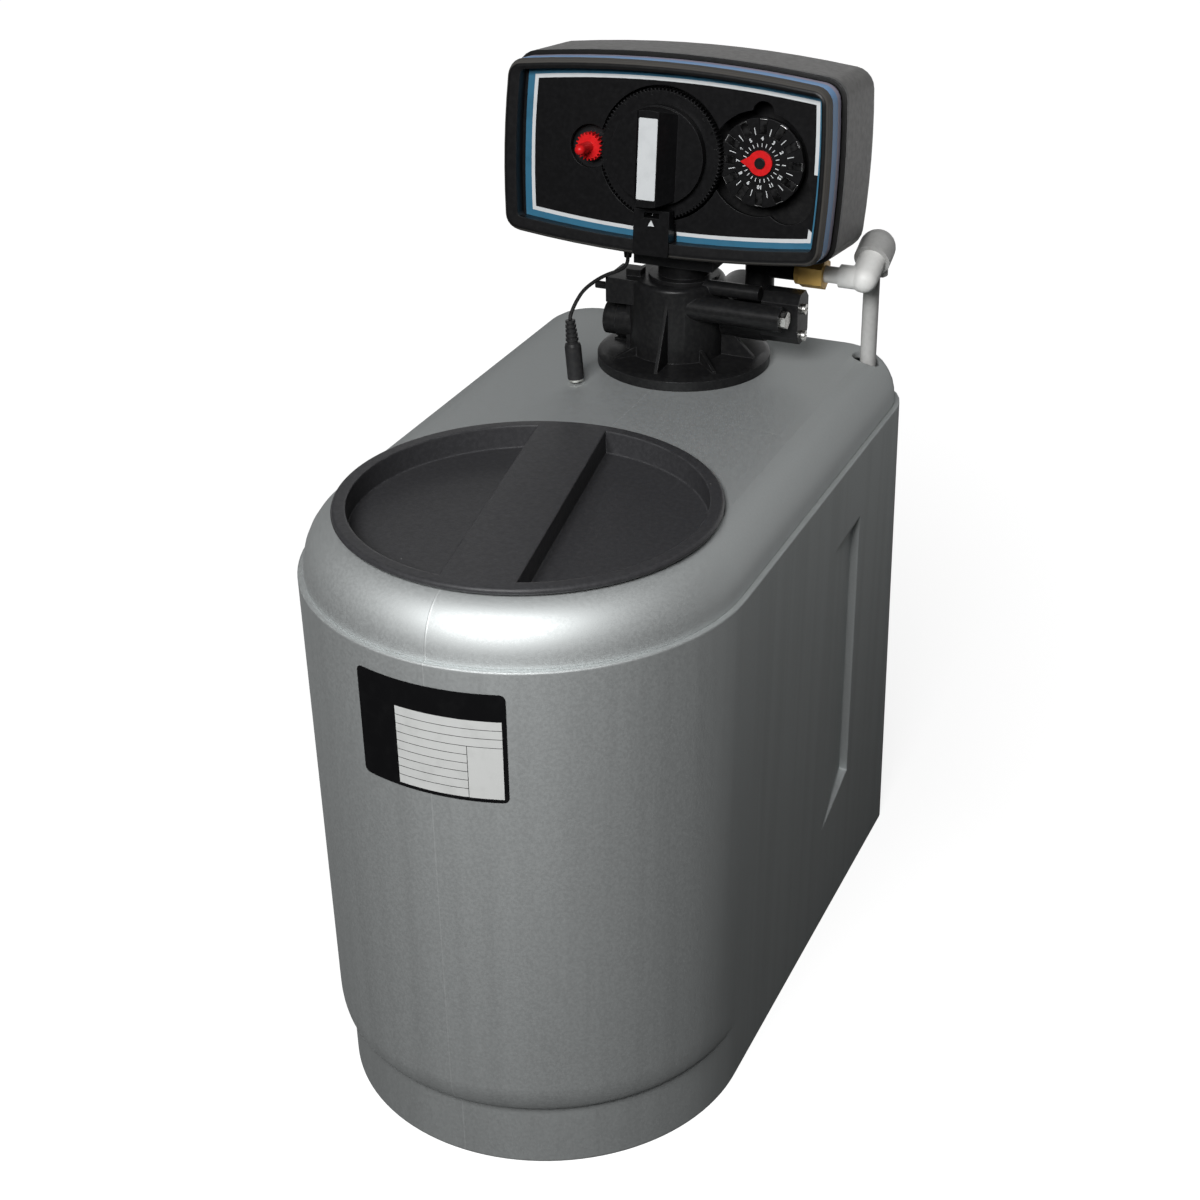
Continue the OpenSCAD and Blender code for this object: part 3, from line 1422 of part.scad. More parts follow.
brine_tank();
cabinet_cover();
salt_lid();
rating_plate();
resin_vessel();
vessel_base();
riser_tube();
lower_distributor();
upper_distributor();
valve_body();
tank_oring();
valve_seals();
seal_spacers();
piston();
end_plug();
injector_body();
injector_nozzle();
injector_screws();
brine_valve_body();
brine_valve_stem();
brine_valve_spring();
drain_fitting();
brine_nut();
brine_elbow();
tube_connector();
brine_tube();
brine_well();
brine_pickup();
air_check_ball();
head_housing();
head_bezel();
bezel_stripe();
dial_panel();
time_window();
gear_plate();
timer_motor();
motor_pinion();
day_gear();
main_knob();
drive_cam();
set_shaft();
set_pinion();
skipper_wheel();
skip_pointer();
head_screws();
lead_gland();
power_lead();
dc_socket();
for (i = [1:tab_count]) skip_tab(i);
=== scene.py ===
"""Cabinet water softener: finishes, printed marks and the free lead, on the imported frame."""
import json
import math

import bmesh
import bpy
from mathutils import Matrix, Vector


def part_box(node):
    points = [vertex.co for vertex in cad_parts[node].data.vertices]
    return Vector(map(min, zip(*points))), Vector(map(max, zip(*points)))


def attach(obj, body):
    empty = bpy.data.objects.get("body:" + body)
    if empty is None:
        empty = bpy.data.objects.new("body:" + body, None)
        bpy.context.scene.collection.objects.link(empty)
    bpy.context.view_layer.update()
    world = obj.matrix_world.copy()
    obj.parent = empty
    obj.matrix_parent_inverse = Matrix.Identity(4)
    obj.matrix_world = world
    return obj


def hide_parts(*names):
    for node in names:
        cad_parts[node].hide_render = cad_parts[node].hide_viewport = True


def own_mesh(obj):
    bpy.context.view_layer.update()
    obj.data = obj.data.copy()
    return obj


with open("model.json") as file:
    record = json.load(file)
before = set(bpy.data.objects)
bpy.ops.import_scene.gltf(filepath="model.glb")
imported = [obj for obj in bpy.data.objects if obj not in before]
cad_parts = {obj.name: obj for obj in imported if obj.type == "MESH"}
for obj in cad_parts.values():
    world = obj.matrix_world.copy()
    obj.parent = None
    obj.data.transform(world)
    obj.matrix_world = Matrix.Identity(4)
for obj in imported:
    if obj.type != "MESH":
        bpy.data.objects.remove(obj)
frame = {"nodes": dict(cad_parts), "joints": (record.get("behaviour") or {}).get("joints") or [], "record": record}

MM = 0.001
NODES = frame["nodes"]
JOINTS = {joint["name"]: joint for joint in frame["joints"]}
SLOT_OF = {part["node"]: part["material_slot"] for part in frame["record"]["subparts"]}
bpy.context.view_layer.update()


# Camera

CAMERA_AT = Vector((423.6, -961.2, 804.5)) * MM
CAMERA_YAW = 0.417
CAMERA_PITCH = 0.491
CAMERA_ROLL = -0.014
LENS = 63.0
SENSOR = 36.0


def make_camera():
    """Camera at the photograph's viewing angle."""
    right = Vector((math.cos(CAMERA_YAW), math.sin(CAMERA_YAW), 0))
    flat = Vector((-math.sin(CAMERA_YAW), math.cos(CAMERA_YAW), 0))
    look = flat * math.cos(CAMERA_PITCH) - Vector((0, 0, math.sin(CAMERA_PITCH)))
    up = right.cross(look)
    right, up = (right * math.cos(CAMERA_ROLL) + up * math.sin(CAMERA_ROLL),
                 up * math.cos(CAMERA_ROLL) - right * math.sin(CAMERA_ROLL))
    data = bpy.data.cameras.new("camera")
    data.lens = LENS
    data.sensor_width = SENSOR
    camera = bpy.data.objects.new("camera", data)
    camera.matrix_world = Matrix.Translation(CAMERA_AT) @ Matrix((right, up, -look)).transposed().to_4x4()
    bpy.context.scene.collection.objects.link(camera)
    bpy.context.scene.camera = camera


# Materials

NOISE_ROUGHNESS = 0.55
BEVEL_SAMPLES = 6
EDGE_WEAR = 0.6


class Look:
    """One procedural material: a shader and the nodes that vary its colour, gloss and relief."""

    def __init__(self, name, color, roughness, metallic=0.0, specular=0.4):
        self.material = bpy.data.materials.new(name)
        self.material.use_nodes = True
        self.tree = self.material.node_tree
        self.shader = self.tree.nodes["Principled BSDF"]
        self.shader.inputs["Base Color"].default_value = (*color, 1)
        self.shader.inputs["Roughness"].default_value = roughness
        self.shader.inputs["Metallic"].default_value = metallic
        self.shader.inputs["Specular IOR Level"].default_value = specular
        self.material.diffuse_color = (*color, 1)
        coordinates = self.node("ShaderNodeTexCoord")
        self.place = coordinates.outputs["Object"]
        self.normal = coordinates.outputs["Normal"]
        self.color = tuple(color)
        self.color_out = None

    def node(self, kind, **values):
        """A new node; values are its settings, or its inputs with _ for a space in the name."""
        made = self.tree.nodes.new(kind)
        for key, value in values.items():
            if hasattr(made, key):
                setattr(made, key, value)
            else:
                made.inputs[key.replace("_", " ")].default_value = value
        return made

    def link(self, start, end):
        """Joins an output to an input."""
        self.tree.links.new(start, end)

    def stretched(self, scale):
        """Object coordinates scaled along each axis."""
        mapping = self.node("ShaderNodeMapping", Scale=scale)
        self.link(self.place, mapping.inputs["Vector"])
        return mapping.outputs["Vector"]

    def noise(self, scale, detail=3.0, stretch=(1, 1, 1)):
        """Noise from 0 to 1; scale is in steps per metre."""
        made = self.node("ShaderNodeTexNoise", Scale=scale, Detail=detail, Roughness=NOISE_ROUGHNESS)
        self.link(self.stretched(stretch), made.inputs["Vector"])
        return made.outputs["Fac"]

    def ramp(self, fac, low, high, start=0.0, end=1.0):
        """fac between low and high mapped smoothly to start and end."""
        made = self.node("ShaderNodeMapRange", interpolation_type="SMOOTHSTEP")
        for key, value in (("From Min", low), ("From Max", high), ("To Min", start), ("To Max", end)):
            made.inputs[key].default_value = value
        self.link(fac, made.inputs["Value"])
        return made.outputs["Result"]

    def math(self, operation, first, second):
        """Result of an operation on two outputs or plain numbers."""
        made = self.node("ShaderNodeMath", operation=operation)
        for socket, value in zip(made.inputs, (first, second)):
            if isinstance(value, (int, float)):
                socket.default_value = value
            else:
                self.link(value, socket)
        return made.outputs["Value"]

    def axis(self, direction, origin=(0, 0, 0)):
        """Distance along a direction of the row frame from origin, in metres."""
        moved = self.node("ShaderNodeVectorMath", operation="SUBTRACT")
        self.link(self.place, moved.inputs[0])
        moved.inputs[1].default_value = origin
        dot = self.node("ShaderNodeVectorMath", operation="DOT_PRODUCT")
        self.link(moved.outputs["Vector"], dot.inputs[0])
        dot.inputs[1].default_value = direction
        return dot.outputs["Value"]

    def facing(self, direction):
        """How far the surface faces along a direction of the row frame, from -1 to 1."""
        dot = self.node("ShaderNodeVectorMath", operation="DOT_PRODUCT")
        self.link(self.normal, dot.inputs[0])
        dot.inputs[1].default_value = direction
        return dot.outputs["Value"]

    def outward(self, middle):
        """How far the surface faces away from a middle point, from -1 to 1."""
        moved = self.node("ShaderNodeVectorMath", operation="SUBTRACT")
        self.link(self.place, moved.inputs[0])
        moved.inputs[1].default_value = middle
        ray = self.node("ShaderNodeVectorMath", operation="NORMALIZE")
        self.link(moved.outputs["Vector"], ray.inputs[0])
        dot = self.node("ShaderNodeVectorMath", operation="DOT_PRODUCT")
        self.link(ray.outputs["Vector"], dot.inputs[0])
        self.link(self.normal, dot.inputs[1])
        return dot.outputs["Value"]

    def red(self, color):
        """The red channel of a colour."""
        made = self.node("ShaderNodeSeparateColor")
        self.link(color, made.inputs["Color"])
        return made.outputs["Red"]

    def tint(self, color, fac):
        """Turns the colour towards another by fac."""
        mix = self.node("ShaderNodeMix", data_type="RGBA")
        self.link(fac, mix.inputs["Factor"])
        if self.color_out is None:
            mix.inputs["A"].default_value = (*self.color, 1)
        else:
            self.link(self.color_out, mix.inputs["A"])
        mix.inputs["B"].default_value = (*color, 1)
        self.color_out = mix.outputs["Result"]
        self.link(self.color_out, self.shader.inputs["Base Color"])
        return self

    def gloss(self, fac, low, high):
        """Roughness from low to high by fac."""
        self.link(self.ramp(fac, 0.3, 0.7, low, high), self.shader.inputs["Roughness"])
        return self

    def relief(self, height, distance, strength=1.0):
        """Surface relief on top of what there is."""
        bump = self.node("ShaderNodeBump", Strength=strength, Distance=distance)
        self.link(height, bump.inputs["Height"])
        normal = self.shader.inputs["Normal"]
        if normal.is_linked:
            self.link(normal.links[0].from_socket, bump.inputs["Normal"])
        self.link(bump.outputs["Normal"], normal)
        return self

    def soft_edges(self, radius, color=None):
        """Rounds the edges' highlights; with a colour, wears them too."""
        bevel = self.node("ShaderNodeBevel", samples=BEVEL_SAMPLES, Radius=radius)
        self.link(bevel.outputs["Normal"], self.shader.inputs["Normal"])
        if color is not None:
            geometry = self.node("ShaderNodeNewGeometry")
            dot = self.node("ShaderNodeVectorMath", operation="DOT_PRODUCT")
            self.link(bevel.outputs["Normal"], dot.inputs[0])
            self.link(geometry.outputs["Normal"], dot.inputs[1])
            worn = self.ramp(dot.outputs["Value"], 0.995, 0.85, 0, EDGE_WEAR)
            self.tint(color, self.math("MULTIPLY", worn, self.ramp(self.noise(160), 0.35, 0.6)))
        return self


def moulded(name, color, other, roughness, grain=900.0, depth=0.03, edge=0.4, wear=None, specular=0.35):
    """Moulded plastic: fine grain, clouded colour, uneven gloss, softened edges. Lengths are in mm."""
    look = Look(name, color, roughness, specular=specular)
    look.soft_edges(edge * MM, wear)
    look.tint(other, look.ramp(look.noise(400, 4), 0.35, 0.75))
    look.gloss(look.noise(300, 3), roughness - 0.03, roughness + 0.03)
    look.relief(look.noise(grain, 2), depth * MM)
    return look


def metal(name, color, other, roughness, metallic=1.0):
    """Plain metal with fine grain and stains; less metallic where it is dull."""
    look = Look(name, color, roughness, metallic=metallic)
    look.soft_edges(0.25 * MM)
    look.tint(other, look.ramp(look.noise(140), 0.4, 0.75))
    look.gloss(look.noise(300, 2), roughness - 0.08, roughness + 0.12)
    look.relief(look.noise(900, 2), 0.01 * MM)
    return look


FLAKE_EDGE = (0.04, 0.04, 0.04)
STREAKS_END = (300 * MM, 330 * MM)
# width of the parting line's ridge and of its painted highlight
SEAM_EDGE = (0.15 * MM, 0.6 * MM)


def cabinet_plastic():
    """Silver-grey moulded plastic: flake that is dark at a slant, upright streaks, a parting line with a painted
    highlight along it.
    """
    look = Look("cabinet_grey", (0.63, 0.655, 0.655), 0.63, metallic=0.88, specular=0.0)
    look.shader.inputs["Specular Tint"].default_value = (*FLAKE_EDGE, 1)
    look.soft_edges(1.6 * MM)
    upright = look.ramp(look.axis((0, 0, 1)), *STREAKS_END, 1, 0)
    streaks = look.ramp(look.noise(70, 3, (1, 1, 0.02)), 0.4, 0.7)
    look.tint((0.59, 0.613, 0.613), look.math("MULTIPLY", streaks, upright))
    look.tint((0.8, 0.82, 0.82), look.ramp(look.noise(3200, 1), 0.6, 0.78, 0, 0.35))
    look.gloss(look.noise(600, 2), 0.6, 0.66)
    look.relief(look.noise(420, 3), 0.015 * MM)
    away = look.math("ABSOLUTE", look.axis((1, 0, 0)), 0)
    seam_ridge_and_highlight = look.ramp(away, *SEAM_EDGE, 1, 0)
    # painted highlight: the parting line is painted lighter; the relief below is the real ridge
    look.tint((0.82, 0.84, 0.84), look.math("MULTIPLY", seam_ridge_and_highlight, 0.35))
    look.relief(seam_ridge_and_highlight, 0.12 * MM, 0.6)
    return look


def dusty(look, color, amount):
    """Sparse specks of dust, up to half a millimetre across."""
    cells = look.node("ShaderNodeTexVoronoi", Scale=150.0)
    look.link(look.place, cells.inputs["Vector"])
    speck = look.ramp(cells.outputs["Distance"], 0.05, 0.025)
    chosen = look.ramp(look.red(cells.outputs["Color"]), 0.965, 0.97, 0, amount)
    look.tint(color, look.math("MULTIPLY", speck, chosen))
    return look


def lid_plastic():
    """Black plastic with a fine leather-like grain, greyed at the edges and a little dusty."""
    look = moulded("lid_black", (0.034, 0.034, 0.0365), (0.045, 0.045, 0.048), 0.43, 1100, 0.06, 1.6,
                   (0.1, 0.1, 0.105), 0.3)
    look.tint((0.09, 0.09, 0.095), look.ramp(look.noise(2600, 1), 0.62, 0.78, 0, 0.5))
    return dusty(look, (0.6, 0.6, 0.6), 0.8)


SLEEVE_EDGE = (-1.5 * MM, -1.2 * MM)


def socket_plastic(axis, mouth):
    """Black plastic with a bright metal sleeve just behind the mouth of the socket."""
    look = moulded("socket_black", (0.018, 0.018, 0.019), (0.026, 0.026, 0.026), 0.4, edge=0.3,
                   specular=0.15)
    sleeve = look.ramp(look.axis(axis, mouth), *SLEEVE_EDGE)
    look.tint((0.76, 0.75, 0.71), sleeve)
    look.link(sleeve, look.shader.inputs["Metallic"])
    return look


RED = ((0.6, 0.012, 0.014), (0.5, 0.009, 0.011))
BUTTON_SPLIT = -4.0 * MM


def button_plastic(w_axis, face, split):
    """Red plastic in front, dark behind the panel where the button carries its inner wheel."""
    look = moulded("red_button", *RED, 0.34, edge=0.25, specular=0.2)
    look.tint((0.014, 0.014, 0.015), look.ramp(look.axis(w_axis, face), split + 0.3 * MM, split - 0.3 * MM))
    return look


BAND_BLUE = (0.13, 0.35, 0.7)
# grey of the painted sheen on the bezel's outer side
PAINTED_SHEEN_GREY = (0.075, 0.071, 0.066)
STRIPE_SPLIT = -4.5 * MM


def stripe_plastic(w_axis, origin, split):
    """Band round the bezel: light blue to the front, lilac-grey to the back."""
    look = Look("stripe_blue", BAND_BLUE, 0.36, specular=0.2)
    look.soft_edges(0.3 * MM)
    look.tint((0.11, 0.29, 0.58), look.ramp(look.noise(45), 0.5, 0.8, 0, 0.5))
    look.tint((0.4, 0.375, 0.49), look.ramp(look.axis(w_axis, origin), split + 0.6 * MM, split - 0.6 * MM))
    look.relief(look.noise(500, 2), 0.015 * MM)
    return look


def bezel_plastic(w_axis, middle):
    """Black plastic, painted grey round its outer side as a painted sheen."""
    look = moulded("bezel_black", (0.007, 0.007, 0.0075), (0.01, 0.01, 0.0105), 0.36, 900, 0.03, 0.6,
                   (0.042, 0.042, 0.045), 0.18)
    side = look.ramp(look.math("ABSOLUTE", look.facing(w_axis), 0), 0.9, 0.75)
    outward = look.ramp(look.outward(middle), 0.2, 0.4)
    # painted sheen: the outer side faces are turned grey in place of light caught on them
    look.tint(PAINTED_SHEEN_GREY, look.math("MULTIPLY", side, outward))
    return look


def housing_plastic(w_axis, front, shaded_depth):
    """Dark grey-brown plastic; a strip at its front, behind the band, is painted black as the groove's shade."""
    look = moulded("head_grey", (0.041, 0.0385, 0.0345), (0.05, 0.047, 0.043), 0.44, 900, 0.04, 1.0,
                   (0.12, 0.115, 0.108))
    # painted shade: the first few millimetres behind the housing's front are painted near-black for the shadowed
    # groove
    look.tint((0.003, 0.003, 0.003), look.ramp(look.axis(w_axis, front), -shaded_depth, -shaded_depth + 0.3 * MM))
    return look


def tab_plate(centre, tip):
    """Dark metal tab with a bright worn tip."""
    look = metal("tab_metal", (0.04, 0.04, 0.041), (0.02, 0.02, 0.02), 0.32)
    away = look.node("ShaderNodeVectorMath", operation="DISTANCE")
    look.link(look.place, away.inputs[0])
    away.inputs[1].default_value = centre
    look.tint((0.8, 0.8, 0.8), look.ramp(away.outputs["Value"], tip - 0.5 * MM, tip - 0.3 * MM))
    return look


def film(name, color, other, roughness=0.4, specular=0.3):
    """Printed film or paint: slightly uneven in colour and gloss."""
    look = Look(name, color, roughness, specular=specular)
    look.tint(other, look.ramp(look.noise(120, 4), 0.45, 0.8))
    look.gloss(look.noise(200), roughness - 0.06, roughness + 0.08)
    look.relief(look.noise(1200, 2), 0.008 * MM)
    return look


def vessel_shell():
    """Wound glass-fibre shell: slanting windings under a clear coat."""
    look = Look("vessel_blue", (0.03, 0.09, 0.24), 0.25)
    wave = look.node("ShaderNodeTexWave", Scale=60.0, Distortion=2.0, Detail=2.0,
                     bands_direction="DIAGONAL")
    look.link(look.place, wave.inputs["Vector"])
    look.tint((0.05, 0.14, 0.34), wave.outputs["Fac"])
    look.relief(wave.outputs["Fac"], 0.1 * MM)
    return look


def make_looks(w_axis, face):
    """The finish of each slot, by the slot's name."""
    return {
        "cabinet_grey": cabinet_plastic(),
        "lid_black": lid_plastic(),
        "plate_black": film("plate_black", (0.0055, 0.0055, 0.006), (0.008, 0.008, 0.0085), 0.35, 0.06),
        "vessel_blue": vessel_shell(),
        "white_plastic": moulded("white_plastic", (0.86, 0.86, 0.84), (0.82, 0.82, 0.8), 0.42,
                                 specular=0.4),
        "grey_plastic": moulded("grey_plastic", (0.44, 0.44, 0.432), (0.4, 0.4, 0.392), 0.42),
        "black_plastic": moulded("black_plastic", (0.0085, 0.0085, 0.009), (0.014, 0.014, 0.014), 0.33,
                                 700, 0.03, 0.6, (0.095, 0.095, 0.098), 0.14),
        "head_black": moulded("head_black", (0.0056, 0.0056, 0.006), (0.0084, 0.0084, 0.009), 0.36,
                              900, 0.03, 0.6, (0.042, 0.042, 0.045), 0.12),
        "stripe_blue": stripe_plastic(w_axis, face, STRIPE_SPLIT),
        "seal_rubber": moulded("seal_rubber", (0.0165, 0.0165, 0.0165), (0.022, 0.022, 0.022), 0.6,
                               specular=0.15),
        "brass": metal("brass", (0.86, 0.55, 0.16), (0.76, 0.47, 0.13), 0.42, 0.35),
        "steel": metal("steel", (0.74, 0.73, 0.7), (0.6, 0.59, 0.56), 0.28),
        "red_plastic": moulded("red_plastic", *RED, 0.34, edge=0.25, specular=0.2),
    }


# Mesh helpers

def piece(name, mesh, material, body):
    """A finished piece from a bmesh, riding on a body."""
    bmesh.ops.recalc_face_normals(mesh, faces=mesh.faces)
    data = bpy.data.meshes.new(name)
    mesh.to_mesh(data)
    mesh.free()
    data.materials.append(material)
    made = bpy.data.objects.new(name, data)
    bpy.context.scene.collection.objects.link(made)
    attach(made, body)
    return made


def add_slab(mesh, near, far):
    """Closed slab between two matching outlines: near is its back, far its front."""
    back = [mesh.verts.new(p) for p in near]
    front = [mesh.verts.new(p) for p in far]
    count = len(back)
    mesh.faces.new(front)
    mesh.faces.new(list(reversed(back)))
    for i in range(count):
        j = (i + 1) % count
        mesh.faces.new((back[i], back[j], front[j], front[i]))


def add_strip(mesh, left, right, lift):
    """Closed band of quads between two open lines, lifted along a vector to give it thickness."""
    rows = [[mesh.verts.new(p + shift) for p in line]
            for line, shift in ((left, lift * 0), (right, lift * 0), (left, lift), (right, lift))]
    low_l, low_r, top_l, top_r = rows
    for i in range(len(left) - 1):
        j = i + 1
        mesh.faces.new((top_l[i], top_r[i], top_r[j], top_l[j]))
        mesh.faces.new((low_l[i], low_l[j], low_r[j], low_r[i]))
        mesh.faces.new((low_l[i], top_l[i], top_l[j], low_l[j]))
        mesh.faces.new((low_r[i], low_r[j], top_r[j], top_r[i]))
    for i in (0, len(left) - 1):
        mesh.faces.new((low_l[i], low_r[i], top_r[i], top_l[i]))


NUMERAL_BOLD = 0.04


def add_numeral(mesh, text, size, thickness, place):
    """A raised numeral, centred on place's origin."""
    curve = bpy.data.curves.new("numeral", "FONT")
    curve.body = text
    curve.size = size
    curve.extrude = thickness / 2
    curve.offset = NUMERAL_BOLD * size
    curve.align_x = "CENTER"
    curve.align_y = "CENTER"
    holder = bpy.data.objects.new("numeral", curve)
    flat = bpy.data.meshes.new_from_object(holder)
    flat.transform(place)
    mesh.from_mesh(flat)
    bpy.data.meshes.remove(flat)
    bpy.data.objects.remove(holder)
    bpy.data.curves.remove(curve)


# Control head: u to the right, v up the panel, w out to the viewer

W_AXIS = Vector(JOINTS["knob_turn"]["axis"])
U_AXIS = Vector((1, 0, 0))
V_AXIS = W_AXIS.cross(U_AXIS)


def along(node, axis):
    """Lowest and highest reach of a node along an axis, in metres."""
    reach = [vertex.co.dot(axis) for vertex in NODES[node].data.vertices]
    return min(reach), max(reach)


def dial_place(joint, node):
    """Frame of a dial: its axis from a joint, its front from a node."""
    centre = Vector(JOINTS[joint]["pos_m"])
    centre += W_AXIS * (along(node, W_AXIS)[1] - centre.dot(W_AXIS))
    return Matrix.Translation(centre) @ Matrix((U_AXIS, V_AXIS, W_AXIS)).transposed().to_4x4()


def panel_frame():
    """Frame of the panel's front at its middle, with half its width and height."""
    (u0, u1), (v0, v1) = along("dial_panel", U_AXIS), along("dial_panel", V_AXIS)
    face = along("dial_panel", W_AXIS)[1]
    centre = U_AXIS * (u0 + u1) / 2 + V_AXIS * (v0 + v1) / 2 + W_AXIS * face
    return (Matrix.Translation(centre) @ Matrix((U_AXIS, V_AXIS, W_AXIS)).transposed().to_4x4(),
            (u1 - u0) / 2, (v1 - v0) / 2)


PRINT = 0.12 * MM
PROUD = 0.02 * MM
LINE_SHIFT_U = 1.2 * MM
LINE_INSET_U = 5.4 * MM
LINE_INSET_V = 4.2 * MM
WHITE_LINE = 2.0 * MM
TEAL_LINE = 3.8 * MM
BOW_U = 1.4 * MM
BOW_V = 4.9 * MM
EDGE_STEPS = 16
TONGUE_HALF = 11.5 * MM
RIGHT_BREAK = (-0.85, -0.03)


def edge_point(side, s, half_u, half_v):
    """Point at share s, from -1 to 1, of one bowed edge of the printed frame."""
    u, v = half_u - BOW_U, half_v - BOW_V
    if side in ("top", "bottom"):
        sign = 1 if side == "top" else -1
        return Vector((u * s, sign * (half_v - BOW_V * s * s), 0))
    sign = 1 if side == "right" else -1
    return Vector((sign * (half_u - BOW_U * s * s), v * s, 0))


def add_edge(mesh, place, side, start, end, outer, inner):
    """Part of one edge of the printed frame, as a thin slab on the panel."""
    shares = [start + (end - start) * i / EDGE_STEPS for i in range(EDGE_STEPS + 1)]
    proud = Vector((0, 0, PROUD))
    lines = [[place @ (edge_point(side, s, *half) + proud) for s in shares] for half in (outer, inner)]
    add_strip(mesh, *lines, W_AXIS * PRINT)


def printed_frame(looks):
    """White line round the panel and the teal line outside it."""
    place, half_u, half_v = panel_frame()
    place = place @ Matrix.Translation((LINE_SHIFT_U, 0, 0))
    knob = place.inverted() @ dial_place("knob_turn", "dial_panel").translation
    rim = (half_u - LINE_INSET_U, half_v - LINE_INSET_V)
    inner = tuple(half - WHITE_LINE for half in rim)
    outer = tuple(half + TEAL_LINE for half in rim)
    tongue = [(knob.x + side * TONGUE_HALF) / rim[0] for side in (-1, 1)]
    spans = [("top", -1, 1), ("left", -1, 1), ("bottom", -1, tongue[0]), ("bottom", tongue[1], 1)]
    white = bmesh.new()
    for side, start, end in spans + [("right", -1, RIGHT_BREAK[0]), ("right", RIGHT_BREAK[1], 1)]:
        add_edge(white, place, side, start, end, rim, inner)
    piece("panel_white_line", white, looks["print_white"].material, "cabinet")
    teal = bmesh.new()
    for side, start, end in spans + [("right", -1, 1)]:
        add_edge(teal, place, side, start, end, outer, rim)
    piece("panel_teal_line", teal, looks["print_teal"].material, "cabinet")


STRIPE_HALF_W = 5.4 * MM
STRIPE_HALF_L = 22.0 * MM
STRIPE_CORNER = 0.6 * MM
STRIPE_T = 0.25 * MM
CORNER_STEPS = 4


def rounded(half_u, half_v, corner):
    """Outline of a rectangle with round corners, in the plane."""
    points = []
    for k, (su, sv) in enumerate(((1, 1), (-1, 1), (-1, -1), (1, -1))):
        for i in range(CORNER_STEPS + 1):
            angle = math.radians(90 * (k + i / CORNER_STEPS))
            points.append(Vector((su * (half_u - corner) + corner * math.cos(angle),
                                  sv * (half_v - corner) + corner * math.sin(angle), 0)))
    return points


def knob_stripe(looks):
    """White pointer strip along the top of the knob's grip bar."""
    place = dial_place("knob_turn", "main_knob")
    mesh = bmesh.new()
    outline = rounded(STRIPE_HALF_W, STRIPE_HALF_L, STRIPE_CORNER)
    back, front = Vector((0, 0, PROUD)), Vector((0, 0, STRIPE_T))
    add_slab(mesh, [place @ (p + back) for p in outline], [place @ (p + front) for p in outline])
    piece("knob_stripe", mesh, looks["print_white"].material, "knob")


HOURS = 24
HOUR_R = 33.2 * MM
HOUR_SIZE = 2.9 * MM
SHOWN_HOUR = 1
DIAL_DEGREES = -4.5


def hour_numerals(looks):
    """Hours on the day dial; the one in the window is painted white, the rest are moulded in black."""
    place = dial_place("day_gear_turn", "day_gear")
    moulded_in, painted = bmesh.new(), bmesh.new()
    for hour in range(HOURS):
        turn = math.radians(360 * (hour - SHOWN_HOUR) / HOURS + DIAL_DEGREES)
        spot = place @ Matrix.Rotation(turn, 4, "Z") @ Matrix.Translation((0, -HOUR_R, PROUD + PRINT / 2))
        text = str((hour + 11) % 12 + 1)
        add_numeral(painted if hour == SHOWN_HOUR else moulded_in, text, HOUR_SIZE, PRINT, spot)
    piece("hour_numerals", moulded_in, looks["head_black"].material, "day_dial")
    piece("hour_shown", painted, looks["print_white"].material, "day_dial")


ARROW_V = -36.4 * MM
ARROW_HALF = 1.9 * MM
ARROW_H = 3.4 * MM


def time_arrow(looks):
    """White arrow on the tongue, under the window."""
    place = dial_place("knob_turn", "time_window")
    low, tip = ARROW_V - ARROW_H / 2, ARROW_V + ARROW_H / 2
    outline = [Vector((u, v, PROUD)) for u, v in ((-ARROW_HALF, low), (ARROW_HALF, low), (0, tip))]
    lift = Vector((0, 0, PRINT))
    mesh = bmesh.new()
    add_slab(mesh, [place @ p for p in outline], [place @ (p + lift) for p in outline])
    piece("time_arrow", mesh, looks["print_white"].material, "cabinet")


SKIP_DAYS = 12
TICK_HALF = 0.2 * MM
INNER_TICK = (8.6 * MM, 10.6 * MM)
OUTER_TICK = (15.2 * MM, 19.0 * MM)
DAY_NUMBER_R = 13.0 * MM
DAY_NUMBER_SIZE = 2.8 * MM


def skipper_marks(looks):
    """Day numbers and ticks on the skipper wheel."""
    place = dial_place("skipper_turn", "skipper_wheel")
    mesh = bmesh.new()
    lift = Vector((0, 0, PRINT))
    for day in range(SKIP_DAYS):
        for half_step, (start, end) in ((0, INNER_TICK), (0.5, INNER_TICK), (0.5, OUTER_TICK)):
            turned = place @ Matrix.Rotation(math.radians(360 * (day + half_step) / SKIP_DAYS), 4, "Z")
            outline = [Vector((r, side * TICK_HALF, PROUD)) for r, side in
                       ((start, -1), (end, -1), (end, 1), (start, 1))]
            add_slab(mesh, [turned @ p for p in outline], [turned @ (p + lift) for p in outline])
        spot = (place @ Matrix.Rotation(math.radians(360 * day / SKIP_DAYS), 4, "Z")
                @ Matrix.Translation((DAY_NUMBER_R, 0, PROUD + PRINT / 2))
                @ Matrix.Rotation(math.radians(-90), 4, "Z"))
        add_numeral(mesh, str(day + 1), DAY_NUMBER_SIZE, PRINT, spot)
    piece("skipper_marks", mesh, looks["print_white"].material, "skipper")


# Rating plate: blank ruled label on the front of the tank, with its sideways places in degrees

PLATE_CORNER = 3.2 * MM
PLATE_T = 0.3 * MM
PLATE_COLUMNS = 48
FIELD_LEFT = -8.3
FIELD_RIGHT = 18.4
FIELD_TOP = 15.0 * MM
FIELD_LOW = 2.0 * MM
FIELD_DIVIDER = 9.9
FIELD_ROWS = 9
WIDE_ROWS = 3
FIELD_DEPTH = (0.01 * MM, 0.04 * MM)
RULE_HALF = 0.16 * MM
RULE_DEPTH = (0.03 * MM, 0.045 * MM)


